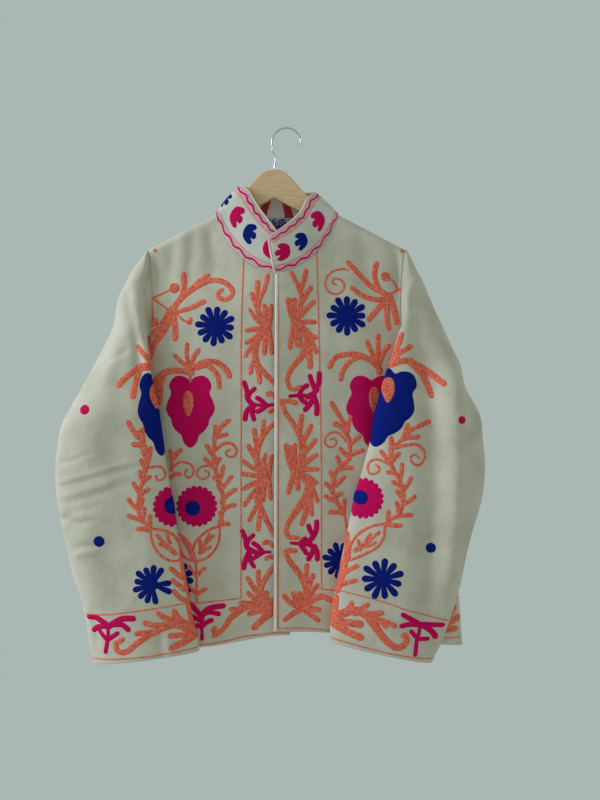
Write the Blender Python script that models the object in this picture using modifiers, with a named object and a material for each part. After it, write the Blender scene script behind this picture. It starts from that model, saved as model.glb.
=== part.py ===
"""Embroidered stand-collar jacket hanging open-necked on a wooden hanger.

Metres, +Z up. The front faces -Y and +X is the viewer's right, which is the wearer's left. The origin is the
inside top of the hanger's hook. The garment's centre line stands a little to the left of the hook, at CENTRE_X, and
every distance named a, or across, runs sideways from that line.
"""

from math import cos, pi, radians, sin, sqrt

import bpy
from mathutils import Vector

# Frame and cloth
CENTRE_X = -0.015
CLOTH = 0.0020
SLEEVE_CLOTH = 0.0016
LINING = 0.0010
SEAM_GAP = 0.0003

# Neck and shoulder line, on the panels' inner face
NECK_Z = -0.1335
NECK_HALF = 0.0963
FRONT_NECK_DROP = 0.0930
BACK_NECK_DROP = 0.0030
NECK_ROUNDNESS = 1.57
NECK_EASE = 0.97
SHOULDER_HALF = 0.1975
SHOULDER_SLOPE = 0.527

# Depth of the body: a roll over the hanger, then a slow swell to the chest or the back
ROLL = 0.0115
FRONT_SWELL = 0.0300
BACK_SWELL = 0.0060
SWELL_DROP = 0.200
SIDE_ROUNDNESS = 2.6
VIRTUAL_SHOULDER_HALF = 0.320

# Laps at the centre front: how far each front passes the centre line, and how far the upper one stands out
UNDER_LAP = 0.0210
OVER_LAP = 0.0020
LAP_RISE = 0.0064
LAP_WIDTH = 0.060
OVER_LAP_AT_NECK = 0.6 * OVER_LAP
OVER_LAP_AT_HEM = 1.6 * OVER_LAP

# Outer edge of front and back, from the shoulder down the armhole and the side seam: (z, across)
SHOULDER_Z = NECK_Z - (SHOULDER_HALF - NECK_HALF) * SHOULDER_SLOPE
ARMPIT_Z = -0.4187
ARMPIT_HALF = 0.2220
SIDE_HEM_Z = -0.7950
OUTER_EDGE = (
    (SHOULDER_Z, SHOULDER_HALF),
    (-0.225, 0.1925),
    (-0.265, 0.1900),
    (-0.310, 0.1905),
    (-0.350, 0.1945),
    (-0.385, 0.2030),
    (ARMPIT_Z, ARMPIT_HALF),
    (-0.470, 0.2420),
    (-0.560, 0.2615),
    (-0.660, 0.2760),
    (SIDE_HEM_Z, 0.2870),
)

# Hem height of each panel: (across, z)
HEMS = {
    "front_right": ((-0.021, -0.7725), (0.015, -0.7754), (0.065, -0.7844), (0.115, -0.7919), (0.287, SIDE_HEM_Z)),
    "front_left": ((-0.021, -0.7670), (0.010, -0.7672), (0.075, -0.7694), (0.150, -0.7780), (0.287, SIDE_HEM_Z)),
    "back": ((0.0, -0.7945), (0.287, SIDE_HEM_Z)),
}

# Rows of the panel grids, as drops below the shoulder at the outer edge; the armhole's rows also seat the sleeves
ROLL_ROWS = (0.0, 0.00134)
ARMHOLE_ROWS = (0.005, 0.010, 0.028, 0.055, 0.085, 0.115, 0.145, 0.172, 0.196, 0.216, SHOULDER_Z - ARMPIT_Z)
LOWER_ROWS = 10
NECK_COLUMNS = 9
NECK_CROWDING = 0.9
SHOULDER_COLUMNS = 5

# The back's lining keeps this far from the side seams, as a share of the back's width, and starts and ends at these
# drops below the shoulder at the outer edge
LINING_WIDTH_SHARE = 0.90
LINING_START = 0.010
LINING_END = 0.560

# Sleeve rings below the armpit, each a flat oval from its outer end to its inner fold:
# (outer across, outer z, fold across, fold z)
SLEEVE_OVALS = {
    "sleeve_right": (
        (0.320, -0.449, 0.177, -0.425),
        (0.329, -0.486, 0.171, -0.467),
        (0.333, -0.524, 0.165, -0.506),
        (0.330, -0.569, 0.158, -0.548),
        (0.323, -0.609, 0.150, -0.593),
        (0.315, -0.647, 0.144, -0.636),
        (0.306, -0.684, 0.137, -0.677),
        (0.294, -0.720, 0.131, -0.713),
        (0.287, -0.752, 0.126, -0.740),
        (0.282, -0.783, 0.119, -0.767),
        (0.275, -0.812, 0.114, -0.792),
    ),
    "sleeve_left": (
        (0.306, -0.437, 0.148, -0.437),
        (0.312, -0.479, 0.141, -0.476),
        (0.315, -0.524, 0.130, -0.518),
        (0.310, -0.569, 0.118, -0.561),
        (0.298, -0.609, 0.108, -0.606),
        (0.286, -0.648, 0.100, -0.647),
        (0.274, -0.687, 0.093, -0.684),
        (0.264, -0.722, 0.086, -0.714),
        (0.255, -0.753, 0.083, -0.737),
        (0.246, -0.783, 0.081, -0.758),
        (0.234, -0.811, 0.081, -0.778),
    ),
}
SLEEVE_START = 0.005
SLEEVE_HEAD_FORWARD = 0.90
SLEEVE_HEAD_BACK = 0.25
SLEEVE_HEAD_DROP = 0.45
SLEEVE_ARMPIT_LIFT = 0.05
SLEEVE_FRONT_Y = -0.084
SLEEVE_BACK_Y = -0.030
SLEEVE_OUTER_Y = -0.042
SLEEVE_FOLD_Y = -0.058
SLEEVE_FLATNESS = 0.75
FOLD_SHARE = 0.375
BODY_CLEARANCE = 0.0040
SIDE_FADE = 0.010

# Two rings in the sleeve head, through eight places that run from the crown down the front and up the back:
# (across, y, z)
SLEEVE_HEADS = {
    "sleeve_right": (
        (
            (0.2230, -0.006, -0.2500),
            (0.2075, -0.030, -0.2720),
            (0.1965, -0.040, -0.3050),
            (0.1935, -0.046, -0.3560),
            (0.2320, -0.014, -0.4250),
            (0.2370, 0.002, -0.4020),
            (0.2260, 0.010, -0.3400),
            (0.2240, 0.010, -0.2880),
        ),
        (
            (0.2560, -0.016, -0.3200),
            (0.2340, -0.050, -0.3370),
            (0.2060, -0.060, -0.3600),
            (0.1870, -0.058, -0.3850),
            (0.2160, -0.038, -0.4160),
            (0.2520, -0.023, -0.4100),
            (0.2640, -0.006, -0.3850),
            (0.2630, -0.001, -0.3550),
        ),
    ),
    "sleeve_left": (
        (
            (0.2290, -0.006, -0.2480),
            (0.2105, -0.030, -0.2680),
            (0.1945, -0.040, -0.2980),
            (0.1840, -0.047, -0.3450),
            (0.2320, -0.015, -0.4250),
            (0.2370, 0.002, -0.4020),
            (0.2270, 0.010, -0.3400),
            (0.2270, 0.010, -0.2850),
        ),
        (
            (0.2550, -0.016, -0.3320),
            (0.2320, -0.052, -0.3400),
            (0.1960, -0.063, -0.3560),
            (0.1640, -0.060, -0.3830),
            (0.2050, -0.038, -0.4170),
            (0.2480, -0.025, -0.4110),
            (0.2630, -0.006, -0.3880),
            (0.2620, -0.001, -0.3620),
        ),
    ),
}

# Upper edge of the collar from the centre back to each front end: (place along the collar, across, y, z)
COLLAR_TOP = {
    "right": (
        (0.00, 0.0000, 0.0200, -0.0965),
        (0.22, 0.0300, 0.0185, -0.0935),
        (0.38, 0.0500, 0.0135, -0.0885),
        (0.47, 0.0568, 0.0020, -0.0862),
        (0.58, 0.0446, -0.0130, -0.0988),
        (0.72, 0.0295, -0.0190, -0.1237),
        (0.84, 0.0146, -0.0225, -0.1438),
        (1.00, -0.0030, -0.0280, -0.1665),
    ),
    "left": (
        (0.00, 0.0000, 0.0200, -0.0965),
        (0.22, 0.0320, 0.0185, -0.0970),
        (0.38, 0.0530, 0.0130, -0.0975),
        (0.47, 0.0603, 0.0020, -0.0980),
        (0.58, 0.0482, -0.0130, -0.1105),
        (0.72, 0.0375, -0.0195, -0.1320),
        (0.84, 0.0200, -0.0285, -0.1500),
        (1.00, -0.0106, -0.0375, -0.1734),
    ),
}
COLLAR_BACK_SHARE = 0.44
COLLAR_END_SHARE = 0.97
COLLAR_BAND_ROWS = 4
COLLAR_BULGE = 0.003
COLLAR_OUTWARD_ACROSS = 0.9
COLLAR_OUTWARD_DEPTH = 1.2
FOOT_GAP = 0.0009
PIPING_RADIUS = 0.0016

# Hanger
HANGER_HALF_THICKNESS = 0.0055
HANGER_EDGE_ROUND = 0.002
HANGER_CENTRE = -0.0055
HANGER_LEAN = radians(0.75)
HANGER_END = 0.187
HANGER_TOP = ((0.0, -0.0630), (0.014, -0.0655), (0.027, -0.0760), (0.046, -0.0985), (0.070, -0.1245),
              (0.096, -0.1405), (0.140, -0.1598), (HANGER_END, -0.1866))
HANGER_BOTTOM = ((0.0, -0.1070), (0.033, -0.1250), (0.075, -0.1480), (0.130, -0.1750), (HANGER_END, -0.2030))
HANGER_STEPS = 16
HANGER_TIP_TURNS = (60, 30, 0, -30, -60)
HANGER_TIP_BLUNTNESS = 0.8

# Hook wire: its round bow, its bend and its foot in the wood, relative to the hook's own centre X = 0
WIRE_RADIUS = 0.0015
BOW_RADIUS = 0.0225
BOW_CENTRE_Z = -(BOW_RADIUS - WIRE_RADIUS)
BOW_START = radians(12)
BOW_END = radians(200)
BOW_TURNS = 22
STEM = ((-0.0212, -0.0330), (-0.0178, -0.0415), (-0.0166, -0.0480), (-0.0180, -0.0545), (-0.0184, -0.0585),
        (-0.0184, -0.0626))
STEM_STEPS = 16
CAP_RADIUS = 0.0022
CAP_LENGTH = 0.0070


def smooth(t):
    """Eases t from 0 to 1 with level ends."""
    t = min(1.0, max(0.0, t))
    return t * t * (3 - 2 * t)


def curve_through(rows, x):
    """Reads a smooth curve through rows of (x, value, value, ...) and returns the values at x."""
    if rows[0][0] > rows[-1][0]:
        rows = rows[::-1]
    xs = [row[0] for row in rows]
    x = min(xs[-1], max(xs[0], x))
    i = max(0, min(len(xs) - 2, sum(1 for value in xs if value <= x) - 1))
    span = xs[i + 1] - xs[i]
    t = (x - xs[i]) / span
    values = []
    for k in range(1, len(rows[0])):
        slopes = []
        for j in (i, i + 1):
            low = max(0, j - 1)
            high = min(len(rows) - 1, j + 1)
            slopes.append((rows[high][k] - rows[low][k]) / (xs[high] - xs[low]) * span)
        p, q = rows[i][k], rows[i + 1][k]
        bend = (2 * t**3 - 3 * t**2 + 1) * p + (3 * t**2 - 2 * t**3) * q
        values.append(bend + (t**3 - 2 * t**2 + t) * slopes[0] + (t**3 - t**2) * slopes[1])
    return values


def spline(points, t, closed=False):
    """Catmull-Rom spline through points, t from 0 to 1 over the whole run or loop."""
    count = len(points)
    spans = count if closed else count - 1
    s = min(max(t, 0.0), 1.0) * spans
    i = min(int(s), spans - 1)
    f = s - i

    def at(j):
        if closed:
            return Vector(points[j % count])
        return Vector(points[min(max(j, 0), count - 1)])

    a, b, c, d = at(i - 1), at(i), at(i + 1), at(i + 2)
    return 0.5 * (2 * b + (c - a) * f + (2 * a - 5 * b + 4 * c - d) * f * f + (3 * b - a - 3 * c + d) * f**3)


def outer_edge(z):
    """How far across the panels' outer edge lies at height z."""
    return curve_through(OUTER_EDGE, z)[0]


def shoulder_z(a):
    """Height of the shoulder line at a, carried on past the neck."""
    return NECK_Z - (a - NECK_HALF) * SHOULDER_SLOPE


def neck_z(a, drop):
    """Height of a neckline that dips by drop at the centre."""
    share = min(1.0, abs(a) / NECK_HALF)
    bow = (1 - (NECK_EASE * share) ** NECK_ROUNDNESS) ** (1 / NECK_ROUNDNESS)
    rest = (1 - NECK_EASE**NECK_ROUNDNESS) ** (1 / NECK_ROUNDNESS)
    return NECK_Z - drop * (bow - rest * share**4)


def top_z(panel, a):
    """Height of a panel's upper edge at a."""
    if abs(a) < NECK_HALF:
        return neck_z(a, BACK_NECK_DROP if panel == "back" else FRONT_NECK_DROP)
    return shoulder_z(abs(a))


def side_half(z):
    """Half width at which front and back would meet at height z."""
    if z <= ARMPIT_Z:
        return outer_edge(z)
    rise = (z - ARMPIT_Z) / (SHOULDER_Z - ARMPIT_Z)
    return ARMPIT_HALF + (VIRTUAL_SHOULDER_HALF - ARMPIT_HALF) * rise


def panel_y(panel, a, z):
    """Depth of a panel's inner face."""
    drop = max(0.0, shoulder_z(abs(a)) - z)
    roll = ROLL * sqrt(1 - (1 - min(1.0, drop / ROLL)) ** 2)
    swell = (BACK_SWELL if panel == "back" else FRONT_SWELL) * smooth(drop / SWELL_DROP)
    share = min(1.0, abs(a) / side_half(z))
    depth = (roll + swell) * (1 - share**SIDE_ROUNDNESS) ** (1 / SIDE_ROUNDNESS)
    if panel == "back":
        return SEAM_GAP / 2 + depth
    rise = LAP_RISE * smooth(1 - a / LAP_WIDTH) if panel == "front_left" else 0.0
    return -SEAM_GAP / 2 - depth - rise


def centre_edge(panel, v):
    """How far across a front's centre edge lies, v from 0 at the neck to 1 at the hem."""
    if panel == "front_right":
        return -UNDER_LAP
    return -OVER_LAP_AT_NECK - (OVER_LAP_AT_HEM - OVER_LAP_AT_NECK) * v


def panel_columns(panel):
    """Places of the grid's columns along the upper edge, from the centre to the shoulder's end."""
    neck = [neck_place(i / NECK_COLUMNS) for i in range(1, NECK_COLUMNS + 1)]
    width = SHOULDER_HALF - NECK_HALF
    shoulder = [NECK_HALF + width * i / SHOULDER_COLUMNS for i in range(1, SHOULDER_COLUMNS + 1)]
    if panel == "back":
        half = neck + shoulder
        return [-a for a in reversed(half)] + [0.0] + half
    start = [-UNDER_LAP, 0.0] if panel == "front_right" else [-OVER_LAP_AT_NECK]
    return start + neck + shoulder


def panel_rows():
    """Shares of the way from the upper edge to the hem."""
    full = SHOULDER_Z - SIDE_HEM_Z
    below = [ARMHOLE_ROWS[-1] + (full - ARMHOLE_ROWS[-1]) * i / LOWER_ROWS for i in range(1, LOWER_ROWS + 1)]
    return [drop / full for drop in ROLL_ROWS + ARMHOLE_ROWS] + [drop / full for drop in below]


def panel_point(panel, top_a, v):
    """Point of a panel's inner face: top_a picks the column, v the share of the way to the hem."""
    edge_z = SHOULDER_Z + (SIDE_HEM_Z - SHOULDER_Z) * v
    first, start, last = [0.0 if panel == "back" else centre_edge(panel, at) for at in (0.0, v, 1.0)]
    u = (top_a - first) / (SHOULDER_HALF - first)
    a = start + (outer_edge(edge_z) - start) * u
    hem_a = last + (outer_edge(SIDE_HEM_Z) - last) * u
    high = top_z(panel, top_a)
    low = curve_through(HEMS[panel], abs(hem_a) if panel == "back" else hem_a)[0]
    z = high + (low - high) * v
    return Vector((a, panel_y(panel, a, z), z))


def sleeve_seat(drop, panel):
    """Point of the armhole edge of a panel, at a drop below the shoulder's end."""
    return panel_point(panel, SHOULDER_HALF, drop / (SHOULDER_Z - SIDE_HEM_Z))


def armhole_ring(reach):
    """Loop just outside the armhole, from the shoulder down the front and up the back."""
    drops = (0.0,) + ARMHOLE_ROWS
    last = len(drops) - 1
    ring = []
    for i in range(2 * last):
        j = i if i <= last else 2 * last - i
        panel = "front_right" if i <= last else "back"
        seat = sleeve_seat(drops[j], panel)
        if j in (0, last):
            seat.y = 0.0
        down = smooth(j / last)
        forward = (-SLEEVE_HEAD_FORWARD if panel == "front_right" else SLEEVE_HEAD_BACK) * sin(pi * j / last)
        way = Vector((1.0, forward, -SLEEVE_HEAD_DROP * (1 - down) + SLEEVE_ARMPIT_LIFT * down)).normalized()
        ring.append(seat + way * reach)
    return ring


def oval_angle(t):
    """Angle round a sleeve's oval for the share t of its loop; the inner fold is at t = FOLD_SHARE."""
    if t < FOLD_SHARE:
        return pi * t / FOLD_SHARE
    return pi + pi * (t - FOLD_SHARE) / (1 - FOLD_SHARE)


def oval_point(row, t):
    """Point of a flat oval between a row's outer end and its inner fold."""
    outer_a, outer_z, fold_a, fold_z = row
    angle = oval_angle(t)
    along = (1 + cos(angle)) / 2
    bulge = (abs(sin(angle)) ** SLEEVE_FLATNESS) * (1 if sin(angle) > 0 else -1)
    middle_y = SLEEVE_FOLD_Y + (SLEEVE_OUTER_Y - SLEEVE_FOLD_Y) * along
    face_y = SLEEVE_FRONT_Y if bulge > 0 else SLEEVE_BACK_Y
    y = middle_y + (face_y - middle_y) * abs(bulge)
    return Vector((fold_a + (outer_a - fold_a) * along, y, fold_z + (outer_z - fold_z) * along))


def clear_of_body(point):
    """Moves a sleeve point forward until it clears the front panel that it hangs before."""
    z = max(point.z, SIDE_HEM_Z)
    side = outer_edge(z)
    limit = panel_y("front_right", min(point.x, side), z) - BODY_CLEARANCE
    if point.y > limit:
        point.y += (limit - point.y) * smooth((side + SIDE_FADE - point.x) / SIDE_FADE)
    return point


def sleeve_rings(name):
    """All rings of a sleeve, from the armhole to the cuff."""
    count = 2 * len(ARMHOLE_ROWS)
    shares = [i / count for i in range(count)]
    first = armhole_ring(SEAM_GAP)
    second = armhole_ring(SLEEVE_START)
    heads = [[spline(ring, t, closed=True) for t in shares] for ring in SLEEVE_HEADS[name]]
    ovals = [[oval_point(row, t) for t in shares] for row in SLEEVE_OVALS[name]]
    keys = [second] + heads + [ovals[0]]
    between = []
    for k in range(len(keys) - 1):
        for step in (0.0, 0.5):
            at = (k + step) / (len(keys) - 1)
            between.append([spline([ring[i] for ring in keys], at) for i in range(count)])
    rings = [first] + between + ovals
    return rings[:2] + [[clear_of_body(point.copy()) for point in ring] for ring in rings[2:]]


def neck_place(share):
    """How far across the neckline lies for a share of the way from the centre to the shoulder seam."""
    return NECK_HALF * sin(pi / 2 * share**NECK_CROWDING)


def collar_stations(side):
    """Places along the collar from the centre back to a front end: (place, panel, across)."""
    shares = [i / NECK_COLUMNS for i in range(NECK_COLUMNS + 1)]
    back = [(COLLAR_BACK_SHARE * share, "back", neck_place(share)) for share in shares[:-1]]
    run = COLLAR_END_SHARE - COLLAR_BACK_SHARE
    front = [(COLLAR_BACK_SHARE + run * share, "front_" + side, neck_place(1 - share)) for share in shares[1:]]
    seam = [(COLLAR_BACK_SHARE, "seam", NECK_HALF)]
    end = [] if side == "right" else [(1.0, "front_left", -OVER_LAP_AT_NECK)]
    return back + seam + front + end


def collar_foot(panel, a):
    """Point just above the neckline, where the collar stands on a panel."""
    step = 0.0005
    drop = BACK_NECK_DROP if panel == "back" else FRONT_NECK_DROP
    if panel == "seam":
        return Vector((a - FOOT_GAP, 0.0, NECK_Z + FOOT_GAP))
    z = neck_z(a, drop)
    slope = (neck_z(abs(a) + step, drop) - neck_z(max(abs(a) - step, 0.0), drop)) / step / 2
    aside = Vector((-slope, 0.0, 1.0)).normalized() * FOOT_GAP
    if a < 0:
        aside.x = 0.0
    return Vector((a, panel_y(panel, a, z), z)) + aside


def collar_line(side, s, panel, a, rows):
    """Points up the collar's outer face at one station."""
    foot = collar_foot(panel, a)
    top = Vector(curve_through(COLLAR_TOP[side], s))
    line = []
    for j in range(rows + 1):
        v = j / rows
        lean = foot.lerp(top, v)
        outward = Vector((lean.x * COLLAR_OUTWARD_ACROSS, lean.y * COLLAR_OUTWARD_DEPTH, 0.0)).normalized()
        line.append(lean + outward * COLLAR_BULGE * sin(pi * v))
    return line


def collar_grid(rows):
    """Grid of the whole collar, from the right front end round the back to the left front end."""
    right = [collar_line("right", s, panel, a, rows) for s, panel, a in collar_stations("right")]
    left = [collar_line("left", s, panel, a, rows) for s, panel, a in collar_stations("left")]
    mirror = [[Vector((-point.x, point.y, point.z)) for point in line] for line in right[:0:-1]]
    return mirror + left


def inset(grid, depth):
    """The same grid moved inward along its own normals."""
    lines = len(grid)
    rows = len(grid[0])
    moved = []
    for i in range(lines):
        line = []
        for j in range(rows):
            along = grid[min(i + 1, lines - 1)][j] - grid[max(i - 1, 0)][j]
            up = grid[i][min(j + 1, rows - 1)] - grid[i][max(j - 1, 0)]
            line.append(grid[i][j] + along.cross(up).normalized() * depth)
        moved.append(line)
    return moved


def material(name, colour, roughness, metallic=0.0):
    """A plain Principled material."""
    made = bpy.data.materials.new(name)
    made.use_nodes = True
    shader = made.node_tree.nodes["Principled BSDF"]
    shader.inputs["Base Color"].default_value = (*colour, 1.0)
    shader.inputs["Roughness"].default_value = roughness
    shader.inputs["Metallic"].default_value = metallic
    return made


def add_object(name, data, look, parent=None):
    """Puts data into the scene as one named piece."""
    piece = bpy.data.objects.new(name, data)
    piece.data.materials.append(look)
    bpy.data.collections[COLLECTION].objects.link(piece)
    piece.parent = parent
    return piece


def sheet(name, grid, closed, thickness, look, parent):
    """A cloth wall: a surface through a grid of points, thickened on the far side of its normals."""
    lines = len(grid)
    across = len(grid[0])
    points = [tuple(point) for line in grid for point in line]
    faces = []
    for i in range(lines - 1):
        for j in range(across if closed else across - 1):
            k = (j + 1) % across
            faces.append((i * across + j, i * across + k, (i + 1) * across + k, (i + 1) * across + j))
    mesh = bpy.data.meshes.new(name)
    mesh.from_pydata(points, [], faces)
    mesh.shade_smooth()
    piece = add_object(name, mesh, look, parent)
    wall = piece.modifiers.new("cloth", "SOLIDIFY")
    wall.thickness = thickness
    wall.offset = -1.0
    return piece


def mirrored(grid):
    """The same grid on the viewer's left, with its lines reversed so that it faces the same way."""
    return [[Vector((-point.x, point.y, point.z)) for point in line] for line in reversed(grid)]


def add_panel(panel, look, parent):
    """One front or the back."""
    rows = panel_rows()
    grid = [[panel_point(panel, a, v) for v in rows] for a in panel_columns(panel)]
    if panel == "front_left":
        grid = grid[::-1]
    elif panel == "front_right":
        grid = mirrored(grid)[::-1]
    return sheet(panel, grid, False, CLOTH, look, parent)


def add_back_lining(look, parent):
    """The printed lining, just inside the back and clear of the side seams."""
    full = SHOULDER_Z - SIDE_HEM_Z
    columns = [a for a in panel_columns("back") if abs(a) <= LINING_WIDTH_SHARE * SHOULDER_HALF]
    rows = [v for v in panel_rows() if LINING_START <= v * full <= LINING_END]
    grid = []
    for a in columns:
        line = [panel_point("back", a, v) for v in rows]
        for point in line:
            point.y -= LINING + 1.5 * SEAM_GAP
        grid.append(line)
    return sheet("back_lining", grid, False, LINING, look, parent)


def add_sleeve(name, look, parent):
    """One sleeve, open at the armhole and the cuff."""
    rings = sleeve_rings(name)
    if name == "sleeve_right":
        rings = [[Vector((-point.x, point.y, point.z)) for point in ring] for ring in rings][::-1]
    return sheet(name, rings, True, SLEEVE_CLOTH, look, parent)


def tube(name, points, radius, look, parent, resolution=2):
    """A round wire or cord through points."""
    data = bpy.data.curves.new(name, "CURVE")
    data.dimensions = "3D"
    run = data.splines.new("POLY")
    run.points.add(len(points) - 1)
    for place, point in zip(run.points, points):
        place.co = (*point, 1.0)
    data.bevel_depth = radius
    data.bevel_resolution = resolution
    data.use_fill_caps = True
    return add_object(name, data, look, parent)


def add_piping(look, parent):
    """The cord along the collar's upper edge."""
    lift = PIPING_RADIUS + 2 * SEAM_GAP
    grid = inset(collar_grid(COLLAR_BAND_ROWS), CLOTH / 2)
    points = []
    for i, line in enumerate(grid):
        along = (grid[min(i + 1, len(grid) - 1)][-1] - grid[max(i - 1, 0)][-1]).normalized()
        up = line[-1] - line[-2]
        up -= along * up.dot(along)
        points.append(line[-1] + up.normalized() * lift)
    return tube("collar_piping", points, PIPING_RADIUS, look, parent)


def add_hanger_wood(look):
    """The wooden bar: one outline, extruded and rounded at its edges."""
    steps = [HANGER_END * i / HANGER_STEPS for i in range(HANGER_STEPS + 1)]
    top = [(a, curve_through(HANGER_TOP, a)[0]) for a in steps]
    bottom = [(a, curve_through(HANGER_BOTTOM, a)[0]) for a in steps]
    end_z = (top[-1][1] + bottom[-1][1]) / 2
    end_radius = (top[-1][1] - bottom[-1][1]) / 2
    tip_length = end_radius * HANGER_TIP_BLUNTNESS
    tip = [(HANGER_END + tip_length * cos(radians(turn)), end_z + end_radius * sin(radians(turn)))
           for turn in HANGER_TIP_TURNS]
    half = top + tip + bottom[::-1]
    other = [(-a, z) for a, z in half[-2:0:-1]]
    outline = half + other
    data = bpy.data.curves.new("hanger_wood", "CURVE")
    data.dimensions = "2D"
    data.fill_mode = "BOTH"
    run = data.splines.new("POLY")
    run.points.add(len(outline) - 1)
    for place, (a, z) in zip(run.points, outline):
        place.co = (a, z, 0.0, 1.0)
    run.use_cyclic_u = True
    data.bevel_depth = HANGER_EDGE_ROUND
    data.bevel_resolution = 1
    data.extrude = HANGER_HALF_THICKNESS - HANGER_EDGE_ROUND
    data.offset = -HANGER_EDGE_ROUND
    piece = add_object("hanger_wood", data, look)
    piece.location.x = CENTRE_X + HANGER_CENTRE
    piece.rotation_euler = (pi / 2, -HANGER_LEAN, 0.0)
    return piece


def add_hook(wire, cap):
    """The bent wire and the bright cap on its free end."""
    bow = []
    for i in range(BOW_TURNS + 1):
        angle = BOW_START + (BOW_END - BOW_START) * i / BOW_TURNS
        bow.append(Vector((BOW_RADIUS * cos(angle), 0.0, BOW_CENTRE_Z + BOW_RADIUS * sin(angle))))
    stem = [Vector((x, 0.0, z)) for x, z in STEM]
    bend = [spline([bow[-1]] + stem, i / STEM_STEPS) for i in range(1, STEM_STEPS + 1)]
    tube("hanger_hook", bow + bend, WIRE_RADIUS, wire, None)
    along = Vector((sin(BOW_START), 0.0, -cos(BOW_START)))
    start = bow[0] + along * SEAM_GAP
    tube("hook_tip", [start, start + along * CAP_LENGTH], CAP_RADIUS, cap, None)


for old in list(bpy.data.objects):
    bpy.data.objects.remove(old, do_unlink=True)

COLLECTION = "embroidered_jacket"
bpy.context.scene.collection.children.link(bpy.data.collections.new(COLLECTION))

cloth = material("cream_cotton", (0.80, 0.76, 0.65), 0.9)
collar_cloth = material("collar_cotton", (0.83, 0.79, 0.72), 0.9)
print_cloth = material("printed_lining", (0.24, 0.20, 0.42), 0.85)
stripe_cloth = material("striped_lining", (0.80, 0.45, 0.40), 0.85)
piping_cloth = material("cream_piping", (0.86, 0.82, 0.74), 0.85)
beech = material("beech_wood", (0.50, 0.32, 0.17), 0.45)
steel = material("plated_steel", (0.72, 0.72, 0.72), 0.25, 1.0)
tip_steel = material("bright_cap", (0.85, 0.85, 0.85), 0.20, 1.0)

garment = bpy.data.objects.new("garment_centre", None)
bpy.data.collections[COLLECTION].objects.link(garment)
garment.location.x = CENTRE_X

for panel_name in ("front_right", "front_left", "back"):
    add_panel(panel_name, cloth, garment)
add_back_lining(print_cloth, garment)
for sleeve_name in SLEEVE_OVALS:
    add_sleeve(sleeve_name, cloth, garment)
outer_collar = collar_grid(COLLAR_BAND_ROWS)
sheet("collar", outer_collar, False, CLOTH, collar_cloth, garment)
sheet("collar_lining", inset(outer_collar, CLOTH + 3 * SEAM_GAP), False, LINING, stripe_cloth, garment)
add_piping(piping_cloth, garment)
add_hanger_wood(beech)
add_hook(steel, tip_steel)
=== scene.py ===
"""Looks of the embroidered stand-collar jacket on its wooden hanger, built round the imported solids.

Metres, +Z up, the front faces -Y, +X is the viewer's right. Every distance named a, or across, runs
sideways from the garment's centre line at CENTRE_X, and every drop runs down from the origin at the
inside top of the hook.
"""

from math import cos, exp, hypot, pi, radians, sin, sqrt

import bpy
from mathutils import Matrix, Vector, noise
from mathutils.bvhtree import BVHTree


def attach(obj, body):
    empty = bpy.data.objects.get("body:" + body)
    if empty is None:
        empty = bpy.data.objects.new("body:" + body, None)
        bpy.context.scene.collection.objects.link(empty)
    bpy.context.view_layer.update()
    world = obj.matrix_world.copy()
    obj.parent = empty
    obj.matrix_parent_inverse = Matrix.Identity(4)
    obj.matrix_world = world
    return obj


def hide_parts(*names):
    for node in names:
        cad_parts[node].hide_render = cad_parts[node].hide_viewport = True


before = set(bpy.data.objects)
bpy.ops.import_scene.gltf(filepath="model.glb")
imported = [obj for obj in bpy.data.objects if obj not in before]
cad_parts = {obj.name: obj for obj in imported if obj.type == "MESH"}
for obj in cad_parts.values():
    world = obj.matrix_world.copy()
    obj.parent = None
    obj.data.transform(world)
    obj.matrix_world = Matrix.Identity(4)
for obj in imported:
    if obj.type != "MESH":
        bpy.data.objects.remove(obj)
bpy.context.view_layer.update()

# Frame and cloth
CENTRE_X = -0.015
SHELL = 0.0010
MM = 0.001

# Camera: level, at the photograph's distance and height
CAMERA_PLACE = (0.02086, -1.717, -0.4187)
CAMERA_LENS = 50.0
CAMERA_SENSOR = 36.0

# Neck and shoulder line
SEAM_GAP = 0.0003
NECK_Z = -0.1335
NECK_HALF = 0.0963
FRONT_NECK_DROP = 0.0930
BACK_NECK_DROP = 0.0030
NECK_ROUNDNESS = 1.57
NECK_EASE = 0.97
SHOULDER_HALF = 0.1975
SHOULDER_SLOPE = 0.527

# Depth of the body
ROLL = 0.0115
FRONT_SWELL = 0.0300
BACK_SWELL = 0.0060
SWELL_DROP = 0.200
SIDE_ROUNDNESS = 2.6
VIRTUAL_SHOULDER_HALF = 0.320

# Laps at the centre front
UNDER_LAP = 0.0210
OVER_LAP = 0.0020
LAP_RISE = 0.0064
LAP_WIDTH = 0.060
OVER_LAP_AT_NECK = 0.6 * OVER_LAP
OVER_LAP_AT_HEM = 1.6 * OVER_LAP

# Outer edge of front and back: (z, across)
SHOULDER_Z = NECK_Z - (SHOULDER_HALF - NECK_HALF) * SHOULDER_SLOPE
ARMPIT_Z = -0.4187
ARMPIT_HALF = 0.2220
SIDE_HEM_Z = -0.7950
OUTER_EDGE = ((SHOULDER_Z, SHOULDER_HALF), (-0.225, 0.1925), (-0.265, 0.1900), (-0.310, 0.1905),
              (-0.350, 0.1945), (-0.385, 0.2030), (ARMPIT_Z, ARMPIT_HALF), (-0.470, 0.2420),
              (-0.560, 0.2615), (-0.660, 0.2760), (SIDE_HEM_Z, 0.2870))

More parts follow.
